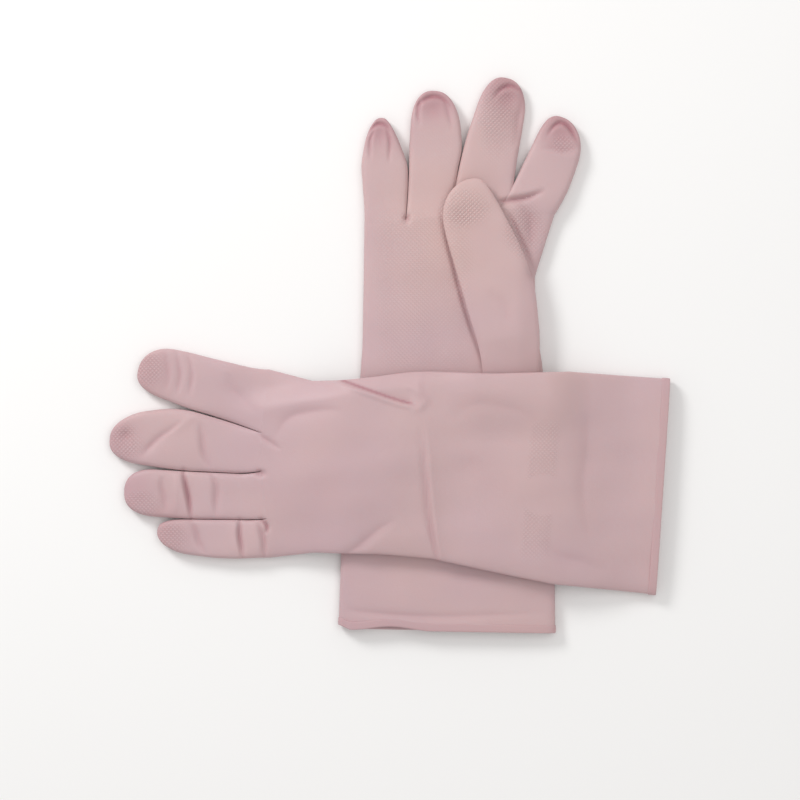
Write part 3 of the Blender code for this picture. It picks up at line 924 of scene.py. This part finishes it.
def relieved(grid, marks, seed, scale):
    """The grid with its relief added to the upper skin, fading out down its sides, and with one more
    value at each point: the painted shade of the folds and dents there."""
    along, across = grid[..., 0] / MM, grid[..., 1] / MM
    waves = scale.waves / MM * unevenness(along, across, seed)
    folds, painted_shade = np.zeros_like(along), np.zeros_like(along)
    for mark in marks:
        mark_height = dent_height if isinstance(mark, Dent) else crease_height
        height, darker = mark_height(mark, along, across)
        folds += height
        painted_shade += darker
    upper = smooth(grid[..., 3] / RELIEF_FADE)
    relief = (waves + folds * scale.creases) * MM * upper
    height = np.maximum(grid[..., 2:3] + relief[..., None], 0)
    # painted shade of folds and dents, fading down the sides like the relief
    painted_shade = np.clip(painted_shade * upper, 0, DARKEST)[..., None]
    return np.concatenate([grid[..., :2], height, grid[..., 3:4], painted_shade], -1)


# The whole film of a glove, and its pieces


def current_film(side):
    """The glove's whole film at the sizes set now. It is worked out once for each set of sizes."""
    sizes = bpy.context.scene.glove_sizes
    scale = ReliefScale(waves=sizes.unevenness, creases=sizes.crease_depth)
    return whole_film(side, sizes.roll_length - ROLL_OVERLAP, scale)


@functools.lru_cache(maxsize=None)
def whole_film(side, start, scale):
    """The film's outer face, welded: points, normals, faces, and the grid's values at points.

    Faces are a dictionary from piece name to an array of quads, whose triangles repeat a corner.
    """
    glove = glove_on(side)
    fingers, thumb = rooted_fingers(glove), rooted_thumb(glove)
    hole = np.linspace(THUMB_HOLE_START, THUMB_HOLE_START + THUMB_HOLE_LENGTH, SIDE_STEPS + 1)
    cuff = np.linspace(start, hole[0], round((hole[0] - start) / ROW_STEP) + 1)[:-1]
    end = min(glove.crotches)
    palm = np.linspace(hole[-1], end, round((end - hole[-1]) / ROW_STEP) + 1)[1:]
    sleeve = sleeve_grid(glove, [*cuff, *hole, *palm])
    root, first = thumb_root(glove, sleeve, len(cuff))
    skipped = np.zeros((len(sleeve) - 1, sleeve.shape[1]), bool)
    skipped[len(cuff) : len(cuff) + SIDE_STEPS, first : first + FINGER_COLUMNS] = True
    sleeve_relief = relieved(sleeve, glove.relief, PALM_SEED, scale)
    cuff_rows = np.searchsorted(cuff, CUFF_END)
    parts = [
        ("cuff", sleeve_relief[: cuff_rows + 1], None),
        ("hand", sleeve_relief[cuff_rows:], skipped[cuff_rows:]),
    ]
    split = split_of(thumb)
    for name, low, high in (("hand", 0.0, split), ("thumb", split, thumb.reach)):
        grid = grown_grid(glove, thumb, root, low, high)
        own = relieved(grid, glove.thumb_relief, THUMB_SEED, scale)
        palm_like = relieved(grid, glove.relief, PALM_SEED, scale)
        parts.append((name, fade_in(own, palm_like, thumb, low, high), None))
    for number, finger in enumerate(fingers):
        root = finger_root(sleeve[-1], number)
        split = split_of(finger)
        spans = (("hand", 0.0, split), (f"{finger.name}_finger", split, finger.reach))
        for name, low, high in spans:
            grid = grown_grid(glove, finger, root, low, high)
            parts.append((name, relieved(grid, glove.relief, PALM_SEED, scale), None))
    return weld(glove, parts)


def fade_in(own, palm, digit, low, high):
    """The thumb's own relief, which takes over from the palm's away from its root."""
    along = shares(digit, low, high) * digit.reach
    share = smooth(along / digit.settle)[:, None, None]
    return palm * (1 - share) + own * share


def split_of(digit):
    """Distance from a digit's root where its piece leaves the skin: well before its bend."""
    return THUMB_SPLIT if digit.name == "thumb" else FINGER_SPLIT


def weld(glove, parts):
    """Joins grids at their shared points."""
    grids = np.concatenate([grid.reshape(-1, grid.shape[-1]) for _, grid, _ in parts])
    points = place(glove, grids)
    _, keep, weld_to = np.unique(
        np.round(points / WELD_DISTANCE), axis=0, return_index=True, return_inverse=True
    )
    weld_to = weld_to.ravel()
    faces, base = {}, 0
    for name, grid, skipped in parts:
        rows, columns = grid.shape[:2]
        index = weld_to[base : base + rows * columns].reshape(rows, columns)
        right = np.roll(index, -1, 1)
        quads = np.stack([index[:-1], right[:-1], right[1:], index[1:]], -1)
        quads = quads.reshape(-1, 4) if skipped is None else quads[~skipped]
        faces.setdefault(name, []).append(quads)
        base += rows * columns
    faces = {name: np.concatenate(quads) for name, quads in faces.items()}
    points = points[keep]
    return points, normals_of(points, np.concatenate(list(faces.values()))), faces, grids[keep]


def normals_of(points, quads):
    """Normals at points: the mean of the faces round them, weighted by area."""
    a, b, c, d = (points[quads[:, i]] for i in range(4))
    face_normals = np.cross(c - a, d - b)
    normals = np.zeros_like(points)
    for corner in range(4):
        np.add.at(normals, quads[:, corner], face_normals)
    return normals / np.maximum(np.linalg.norm(normals, axis=1, keepdims=True), 1e-12)


def add_piece(name, points, faces):
    """An object at the origin, its mesh made of the points and faces, shaded smooth."""
    mesh = bpy.data.meshes.new(name)
    mesh.from_pydata(points.tolist(), [], faces)
    mesh.shade_smooth()
    piece = bpy.data.objects.new(name, mesh)
    bpy.context.scene.collection.objects.link(piece)
    return piece


def corner_points(mesh):
    """Number of the point at each face corner."""
    corners = np.zeros(len(mesh.loops), int)
    mesh.loops.foreach_get("vertex_index", corners)
    return corners


def closed_faces(quads, count):
    """Faces of a closed shell of count outer points, whose lining's points follow them: the outer
    faces, the same turned round on the lining, and a rim along every edge that one face has."""
    outer = [tuple(dict.fromkeys(quad)) for quad in quads.tolist()]
    inner = [tuple(corner + count for corner in face[::-1]) for face in outer]
    edges = np.concatenate([quads[:, [i, (i + 1) % 4]] for i in range(4)])
    edges = edges[edges[:, 0] != edges[:, 1]]
    codes, reverse = edges[:, 0] * count + edges[:, 1], edges[:, 1] * count + edges[:, 0]
    rim_edges = edges[~np.isin(codes, reverse)]
    rim = [(b, a, a + count, b + count) for a, b in rim_edges.tolist()]
    return outer, inner, rim


def film_piece(name, side, part):
    """A closed piece of the film: its outer face, the lining a wall's thickness inside it, and
    a rim along every open edge. Normals are the whole film's, so cuts between pieces don't show."""
    points, normals, faces, grid = current_film(side)
    used, quads = np.unique(faces[part], return_inverse=True)
    points, normals, grid = points[used], normals[used], grid[used]
    outer, inner, rim = closed_faces(quads.reshape(-1, 4), len(points))
    wall = bpy.context.scene.glove_sizes.film
    lining = points - normals * wall
    lining[:, 2] = np.maximum(lining[:, 2], LINING_CLEARANCE * wall)
    piece = add_piece(name, np.concatenate([points, lining]), outer + inner + rim)
    mesh = piece.data
    corner_normals = np.concatenate([normals, -normals])[corner_points(mesh)]
    flat = np.zeros(3 * len(mesh.polygons))
    mesh.polygons.foreach_get("normal", flat)
    rim_normals = flat.reshape(-1, 3)[len(outer) + len(inner) :]
    corner_normals[len(corner_normals) - 4 * len(rim) :] = np.repeat(rim_normals, 4, axis=0)
    mesh.normals_split_custom_set(corner_normals.tolist())
    mesh.materials.append(built_once("dipped_pink_rubber", film_material))
    mesh.materials.append(built_once("cotton_flock_lining", lining_material))
    kinds = np.repeat((0, 1, 0), (len(outer), len(inner), len(rim)))
    mesh.polygons.foreach_set("material_index", kinds.astype(np.int32))
    write_maps(mesh, np.concatenate([grid, grid]), side)
    return piece


def write_maps(mesh, grid, side):
    """The film's own map in metres, and how much grip, pinkish tone with painted shade, and warmth
    each point has.
    """
    film_map = mesh.uv_layers.new(name="film")
    film_map.data.foreach_set("uv", grid[corner_points(mesh), :2].astype(np.float32).ravel())
    # the second map is the fingertips' darker pinkish tone together with the painted shade of folds
    # and dents
    for name, values in (("grip", grip_share), ("pink_and_shade", pink_and_shade), ("warmth", warmth)):
        attribute = mesh.attributes.new(name, "FLOAT", "POINT")
        attribute.data.foreach_set("value", values(grid, side).astype(np.float32))


def grip_share(grid, side):
    """How strongly the diamond grip stands out: over the palm side and the fingertips and, on the
    back, in a band across the cuff that leaves a plain round pad free. Every edge of it is a smooth
    step over a few millimetres."""
    along, across, up = grid[:, 0] / MM, grid[:, 1] / MM, grid[:, 3]
    palm = up if side == "right" else -up
    on_palm = ramp(palm, *ROUND_THE_EDGE) * ramp(along, *PALM_FROM_WRIST)
    on_palm *= ramp(across, *PALM_FROM_LITTLE_SIDE) * (1 - ramp(across, *PALM_TO_THUMB))
    on_palm *= 1 - FADED_AT_FINGERS * ramp(along, *PALM_TO_FINGERS)
    patch = np.zeros_like(along)
    for place_along, place_across, length, breadth in GRIP_PATCHES[side]:
        x, y = (along - place_along) / length, (across - place_across) / breadth
        patch += smooth(PATCH_EDGE - np.hypot(x, y))
    start = BAND_START - BAND_LEAN * across
    band = ramp(along, start - 1, BAND_SOFTNESS)
    band *= smooth((start + BAND_LENGTH - along) / BAND_SOFTNESS)
    band *= ramp(across, *BAND_FROM_LITTLE_SIDE) * (1 - ramp(across, *BAND_TO_INDEX_SIDE))
    pad = np.hypot(along - PAD_ALONG, across - PAD_ACROSS)
    band *= ramp(pad, PAD_RADIUS, PAD_SOFTNESS) * ramp(-palm, *FROM_THE_EDGE)
    strength = PALM_GRIP * on_palm + BAND_GRIP * band + PATCH_GRIP * patch * ramp(up, *FROM_THE_EDGE)
    return np.clip(strength, 0, 1)


def pink_and_shade(grid, side):
    """How much the film turns to the darker pinkish tone: round the fingertips, and as a painted shade
    in its folds and dents.
    """
    tips = np.array([finger.tip for finger in glove_on(side).fingers])
    distance = np.linalg.norm(grid[:, None, :2] / MM - tips, axis=-1).min(1)
    # fingertips' tone, plus the painted shade of the folds and dents carried in the grid
    return np.clip(TIP_BLUSH[side] * smooth(1.1 - distance / BLUSH_REACH) + grid[:, 4], 0, 1)


def warmth(grid, side):
    """How much warmer the film is: a broad bell over the palm and fingers that face up."""
    x = (grid[:, 0] / MM - WARM_ALONG) / WARM_LENGTH
    y = (grid[:, 1] / MM - WARM_ACROSS) / WARM_BREADTH
    return PALM_WARMTH[side] * np.exp(-(x**2) - y**2)


# Materials. A node's inputs are keyed by name or number.


def linear(hex_colour):
    """Linear RGBA from an sRGB hex colour."""
    value = int(hex_colour.lstrip("#"), 16)
    channels = [(value >> shift & 255) / 255 for shift in (16, 8, 0)]
    return [c / 12.92 if c <= 0.04045 else ((c + 0.055) / 1.055) ** 2.4 for c in channels] + [1.0]


def add_node(tree, kind, settings, inputs):
    """Adds a node, sets its properties, and sets or links its inputs. Returns its outputs."""
    node = tree.nodes.new(kind)
    for name, value in settings.items():
        setattr(node, name, value)
    for key, value in inputs.items():
        if isinstance(value, bpy.types.NodeSocket):
            tree.links.new(value, node.inputs[key])
        else:
            node.inputs[key].default_value = value
    return node.outputs


def new_material(name):
    """A material with its node tree and its shader."""
    material = bpy.data.materials.new(name)
    material.use_nodes = True
    tree = material.node_tree
    return material, tree, tree.nodes["Principled BSDF"]


def built_once(name, build):
    """The material of that name, which the first piece that needs it builds."""
    return bpy.data.materials.get(name) or build(name)


def diamond_height(tree, pitch):
    """Raised diamonds with grooves between them, on the film's own map: the lesser of two
    triangle waves along its diagonals, each from 0 to 1."""
    film_map = add_node(tree, "ShaderNodeUVMap", {"uv_map": "film"}, {})[0]
    parts = add_node(tree, "ShaderNodeSeparateXYZ", {}, {0: film_map})
    waves = []
    for operation in ("ADD", "SUBTRACT"):
        diagonal = {0: parts[0], 1: parts[1]}
        way = add_node(tree, "ShaderNodeMath", {"operation": operation}, diagonal)[0]
        share = add_node(tree, "ShaderNodeMath", {"operation": "DIVIDE"}, {0: way, 1: pitch})[0]
        saw = add_node(tree, "ShaderNodeMath", {"operation": "PINGPONG"}, {0: share, 1: 0.5})[0]
        whole = {0: saw, 1: 2.0}
        waves.append(add_node(tree, "ShaderNodeMath", {"operation": "MULTIPLY"}, whole)[0])
    lesser = {0: waves[0], 1: waves[1]}
    return add_node(tree, "ShaderNodeMath", {"operation": "MINIMUM"}, lesser)[0]


def film_material(name):
    """Dipped natural rubber, chlorinated: a soft matt skin with a broad faint sheen, a little
    cloudy in tone, with a diamond grip moulded in by the former. The grip's pitch is drawn
    coarser than real, to show."""
    sizes, colours = bpy.context.scene.glove_sizes, bpy.context.scene.glove_colours
    material, tree, shader = new_material(name)
    diamonds = diamond_height(tree, sizes.grip_pitch)
    # the second attribute holds the fingertips' tone and the painted shade of folds and dents
    grip, pink_and_fold_shade, warm = (
        add_node(tree, "ShaderNodeAttribute", {"attribute_name": attribute}, {})["Fac"]
        for attribute in ("grip", "pink_and_shade", "warmth")
    )
    colour = film_colour(tree, colours, diamonds, grip, pink_and_fold_shade, warm)
    tree.links.new(colour, shader.inputs["Base Color"])
    shader.inputs["Roughness"].default_value = 0.52
    shader.inputs["IOR"].default_value = 1.52
    shader.inputs["Specular IOR Level"].default_value = 0.4
    shader.inputs["Subsurface Weight"].default_value = 0.12
    shader.inputs["Subsurface Radius"].default_value = (1.0, 0.5, 0.45)
    shader.inputs["Subsurface Scale"].default_value = 2 * MM
    places = add_node(tree, "ShaderNodeTexCoord", {}, {})["Object"]
    fine = {0: places, "Scale": 1 / GRAIN_SIZE, "Detail": 2.0}
    grain = add_node(tree, "ShaderNodeTexNoise", {}, fine)[0]
    raised = add_node(tree, "ShaderNodeMath", {"operation": "MULTIPLY"}, {0: diamonds, 1: grip})[0]
    both = {0: grain, 1: GRAIN_SHARE, 2: raised}
    relief = add_node(tree, "ShaderNodeMath", {"operation": "MULTIPLY_ADD"}, both)[0]
    bumps = {"Height": relief, "Distance": sizes.grip_height, "Strength": 0.7}
    tree.links.new(add_node(tree, "ShaderNodeBump", {}, bumps)[0], shader.inputs["Normal"])
    return material


def film_colour(tree, colours, diamonds, grip, pink_and_fold_shade, warm):
    """The rubber's tone: clouds of the warmer rubber, a darker pinkish tone at the fingertips, and the
    same colour as a painted shade in the folds and in the grooves of the grip."""
    tint = {"data_type": "RGBA", "clamp_factor": True}
    places = add_node(tree, "ShaderNodeTexCoord", {}, {})["Object"]
    soft = {0: places, "Scale": 1 / CLOUD_SIZE, "Detail": 4.0}
    cloud = add_node(tree, "ShaderNodeTexNoise", {}, soft)[0]
    spread = {0: cloud, 1: CLOUD_SPREAD, 2: CLOUD_SHIFT}
    clouds = add_node(tree, "ShaderNodeMath", {"operation": "MULTIPLY_ADD"}, spread)[0]
    warmer = add_node(tree, "ShaderNodeMath", {"operation": "ADD"}, {0: clouds, 1: warm})[0]
    tones = {0: warmer, 6: linear(colours.rubber), 7: linear(colours.warm_rubber)}
    ground = add_node(tree, "ShaderNodeMix", tint, tones)[2]
    # painted shade in the grip's grooves below the mean diamond, and lighter tops above it
    depth = {0: MEAN_DIAMOND, 1: diamonds}
    deep = add_node(tree, "ShaderNodeMath", {"operation": "SUBTRACT"}, depth)[0]
    grooves = add_node(tree, "ShaderNodeMath", {"operation": "MULTIPLY"}, {0: deep, 1: grip})[0]
    # an even share of the darker pinkish colour, plus the fingertips' tone and the painted fold shade
    ever = {0: pink_and_fold_shade, 1: EVEN_BLUSH}
    even_pink_and_shade = add_node(tree, "ShaderNodeMath", {"operation": "ADD"}, ever)[0]
    shade = {0: grooves, 1: GROOVE_SHADE, 2: even_pink_and_shade}
    darkness = add_node(tree, "ShaderNodeMath", {"operation": "MULTIPLY_ADD"}, shade)[0]
    tones = {0: darkness, 6: ground, 7: linear(colours.pink_and_shade)}
    return add_node(tree, "ShaderNodeMix", tint, tones)[2]


def lining_material(name):
    """Cotton flock bonded to the inside: dead matt, pale and slightly fuzzy."""
    material, tree, shader = new_material(name)
    shader.inputs["Base Color"].default_value = linear(bpy.context.scene.glove_colours.lining)
    shader.inputs["Roughness"].default_value = 0.95
    places = add_node(tree, "ShaderNodeTexCoord", {}, {})["Object"]
    fuzz = {0: places, "Scale": 1 / FIBRE_SIZE, "Detail": 3.0}
    fibre = add_node(tree, "ShaderNodeTexNoise", {}, fuzz)[0]
    bumps = {"Height": fibre, "Distance": FUZZ_HEIGHT, "Strength": 0.5}
    tree.links.new(add_node(tree, "ShaderNodeBump", {}, bumps)[0], shader.inputs["Normal"])
    return material


def paper_material(name):
    """Matt white paper: the pale ground, with no gloss to show the lights."""
    material, _, shader = new_material(name)
    shader.inputs["Base Color"].default_value = linear(bpy.context.scene.glove_colours.floor)
    shader.inputs["Roughness"].default_value = 0.9
    shader.inputs["Specular IOR Level"].default_value = 0.1
    return material


# The rolled edge of the cuff


def cuff_roll(side):
    """The rolled edge: the sleeve's ring swept as a thin closed loop round the film's edge, a
    little proud of the film outside and doubled inside. The loop is a superellipse: its way is
    along the glove, and its out swells or shrinks the ring."""
    glove, sizes = glove_on(side), bpy.context.scene.glove_sizes
    turn = np.linspace(0, 2 * math.pi, ROLL_COLUMNS + 1)[:-1]
    sin, cos = np.sin(turn), np.cos(turn)
    out = np.sign(sin) * np.abs(sin) ** (2 / ROLL_OUT_SQUARENESS)
    way = np.sign(cos) * np.abs(cos) ** (2 / ROLL_WAY_SQUARENESS)
    stations = sizes.roll_length / 2 * (1 - way)
    inside = ROLL_LAYERS_INSIDE * (sizes.film + sizes.roll_proud)
    swells = out * np.where(out > 0, sizes.roll_proud, inside)
    grid = np.array([sleeve_grid(glove, [s], swell)[0] for s, swell in zip(stations, swells)])
    rows, columns = grid.shape[:2]
    index = np.arange(rows * columns).reshape(rows, columns)
    right, below = np.roll(index, -1, 1), np.roll(index, -1, 0)
    quads = np.stack([right, np.roll(below, -1, 1), below, index], -1).reshape(-1, 4)
    roll = add_piece(f"{side}_cuff_roll", place(glove, grid).reshape(-1, 3), quads.tolist())
    roll.data.materials.append(built_once("dipped_pink_rubber", film_material))
    flat = grid.reshape(-1, grid.shape[-1])
    pinkness = np.full((len(flat), 1), ROLL_BLUSH)
    write_maps(roll.data, np.concatenate([flat, pinkness], 1), side)
    return roll


# What a user may change


class GloveSizes(bpy.types.PropertyGroup):
    """Sizes of the film and its relief."""

    film: FloatProperty(
        name="Film", description="Wall of the dipped film", default=0.5 * MM, unit="LENGTH"
    )
    roll_length: FloatProperty(
        name="Roll length",
        description="Width of the rolled edge of the cuff",
        default=4.6 * MM,
        unit="LENGTH",
    )
    roll_proud: FloatProperty(
        name="Roll height",
        description="How far the rolled edge stands out of the film",
        default=0.45 * MM,
        unit="LENGTH",
    )
    grip_pitch: FloatProperty(
        name="Grip pitch",
        description="Distance between the diamonds of the grip",
        default=2.4 * MM,
        unit="LENGTH",
    )
    grip_height: FloatProperty(
        name="Grip height", description="Height of the diamonds", default=0.65 * MM, unit="LENGTH"
    )
    unevenness: FloatProperty(
        name="Unevenness",
        description="Height of the slow waves of the limp film",
        default=0.5 * MM,
        unit="LENGTH",
    )
    crease_depth: FloatProperty(
        name="Crease depth",
        description="Depth of every fold and dent, as a share of its own depth",
        default=1.0,
        subtype="FACTOR",
    )


class GloveColours(bpy.types.PropertyGroup):
    """Colours, as sRGB hex."""

    rubber: StringProperty(name="Rubber", description="Colour of the rubber", default="#C4A8AC")
    warm_rubber: StringProperty(
        name="Warm rubber", description="Colour of its warmer clouds", default="#CCAEAA"
    )
    # the darker pinkish colour of the fingertips, also used as the painted shade of folds and grooves
    pink_and_shade: StringProperty(
        name="Blush", description="Colour at the fingertips and in the folds", default="#AB7A81"
    )
    lining: StringProperty(name="Lining", description="Colour of the flock", default="#D9C6C4")
    floor: StringProperty(name="Floor", description="Colour of the floor", default="#F4F3F2")


# One operator for each piece or group of like pieces


class GLOVES_OT_right_sleeve(bpy.types.Operator):
    """Cuff and hand of the lower glove"""

    bl_idname = "gloves.right_sleeve"
    bl_label = "Right cuff and hand"

    def execute(self, context):
        for part in ("cuff", "hand"):
            film = film_piece(f"right_{part}_film", "right", part)
            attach(film, "right_glove")
            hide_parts(f"right_{part}")
        return {"FINISHED"}


class GLOVES_OT_left_sleeve(bpy.types.Operator):
    """Cuff of the upper glove, and its hand"""

    bl_idname = "gloves.left_sleeve"
    bl_label = "Left cuff and hand"

    def execute(self, context):
        cuff = film_piece("left_cuff_film", "left", "cuff")
        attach(cuff, "left_cuff")
        hand = film_piece("left_hand_film", "left", "hand")
        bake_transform(hand)
        for film, part in ((cuff, "cuff"), (hand, "hand")):
            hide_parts(f"left_{part}")
        return {"FINISHED"}


class GLOVES_OT_rolls(bpy.types.Operator):
    """The rolled edges of both cuffs"""

    bl_idname = "gloves.rolls"
    bl_label = "Cuff rolls"

    def execute(self, context):
        for side, body in (("right", "right_glove"), ("left", "left_cuff")):
            roll = cuff_roll(side)
            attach(roll, body)
            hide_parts(f"{side}_cuff_bead")
        return {"FINISHED"}


def bending_digit(side, part):
    """A finger or thumb, as a piece of its own."""
    piece = film_piece(f"{side}_{part}_film", side, part)
    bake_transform(piece)
    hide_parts(f"{side}_{part}")


class GLOVES_OT_fingers(bpy.types.Operator):
    """The four fingers of both gloves"""

    bl_idname = "gloves.fingers"
    bl_label = "Fingers"

    def execute(self, context):
        for side, body in (("right", "right_glove"), ("left", "left_hand")):
            for name in ("little", "ring", "middle", "index"):
                part = f"{name}_finger"
                bending_digit(side, part)
        return {"FINISHED"}


class GLOVES_OT_thumbs(bpy.types.Operator):
    """The thumb across the lower glove's palm, and the one under the upper glove's palm"""

    bl_idname = "gloves.thumbs"
    bl_label = "Thumbs"

    def execute(self, context):
        bending_digit("right", "thumb")
        bending_digit("left", "thumb")
        return {"FINISHED"}


class GLOVES_OT_stage(bpy.types.Operator):
    """A pale floor, soft light from above and a camera that looks straight down"""

    bl_idname = "gloves.stage"
    bl_label = "Stage"

    def execute(self, context):
        add_floor()
        add_lights()
        add_camera()
        return {"FINISHED"}


def add_floor():
    """A wide flat floor at height 0."""
    corners = FLOOR_SIZE * np.array([(-1, -1, 0), (1, -1, 0), (1, 1, 0), (-1, 1, 0)])
    floor = add_piece("floor", corners, [(0, 1, 2, 3)])
    floor.data.materials.append(built_once("matt_white_paper", paper_material))


def add_lights():
    """A soft light from the upper left and a wide weak one above, under an even pale sky."""
    world = bpy.data.worlds.new("studio")
    world.use_nodes = True
    background = world.node_tree.nodes["Background"]
    background.inputs["Color"].default_value = (1.0, 0.995, 0.99, 1)
    background.inputs["Strength"].default_value = SKY_STRENGTH
    bpy.context.scene.world = world
    for name, place_m, size, power in LAMPS:
        light = bpy.data.lights.new(name, "AREA")
        light.shape = "DISK"
        light.size = size
        light.energy = power
        lamp = bpy.data.objects.new(name, light)
        lamp.location = place_m
        lamp.rotation_euler = (-Vector(place_m)).to_track_quat("-Z", "Y").to_euler()
        bpy.context.scene.collection.objects.link(lamp)


def add_camera():
    """Looks straight down. Its view is as wide as VIEW_WIDTH lengths of the pair."""
    wide = VIEW_WIDTH * (CAD_BOUNDS[1][0] - CAD_BOUNDS[0][0])
    camera = bpy.data.cameras.new("camera")
    camera.lens = 135
    camera.sensor_width = 36
    camera.clip_end = 20
    seat = bpy.data.objects.new("camera", camera)
    seat.location = (VIEW_X, VIEW_Y, wide * camera.lens / camera.sensor_width + VIEW_Z)
    bpy.context.scene.collection.objects.link(seat)
    bpy.context.scene.camera = seat
    bpy.context.scene.view_settings.view_transform = "Standard"


OPERATORS = (
    GLOVES_OT_stage,
    GLOVES_OT_right_sleeve,
    GLOVES_OT_left_sleeve,
    GLOVES_OT_rolls,
    GLOVES_OT_fingers,
    GLOVES_OT_thumbs,
)


class GLOVES_PT_panel(bpy.types.Panel):
    """Sizes, colours and pieces of the gloves"""

    bl_label = "Rubber gloves"
    bl_space_type = "VIEW_3D"
    bl_region_type = "UI"
    bl_category = "Gloves"

    def draw(self, context):
        for group in (context.scene.glove_sizes, context.scene.glove_colours):
            column = self.layout.column()
            for name in group.__annotations__:
                column.prop(group, name)
        for operator in OPERATORS:
            self.layout.operator(operator.bl_idname)


CLASSES = (GloveSizes, GloveColours, *OPERATORS, GLOVES_PT_panel)


def register():
    for cls in CLASSES:
        bpy.utils.register_class(cls)
    bpy.types.Scene.glove_sizes = PointerProperty(type=GloveSizes)
    bpy.types.Scene.glove_colours = PointerProperty(type=GloveColours)


def unregister():
    del bpy.types.Scene.glove_colours
    del bpy.types.Scene.glove_sizes
    for cls in reversed(CLASSES):
        bpy.utils.unregister_class(cls)


def main():
    register()
    bpy.ops.gloves.stage()
    bpy.ops.gloves.right_sleeve()
    bpy.ops.gloves.left_sleeve()
    bpy.ops.gloves.rolls()
    bpy.ops.gloves.fingers()
    bpy.ops.gloves.thumbs()


if __name__ == "__main__":
    main()
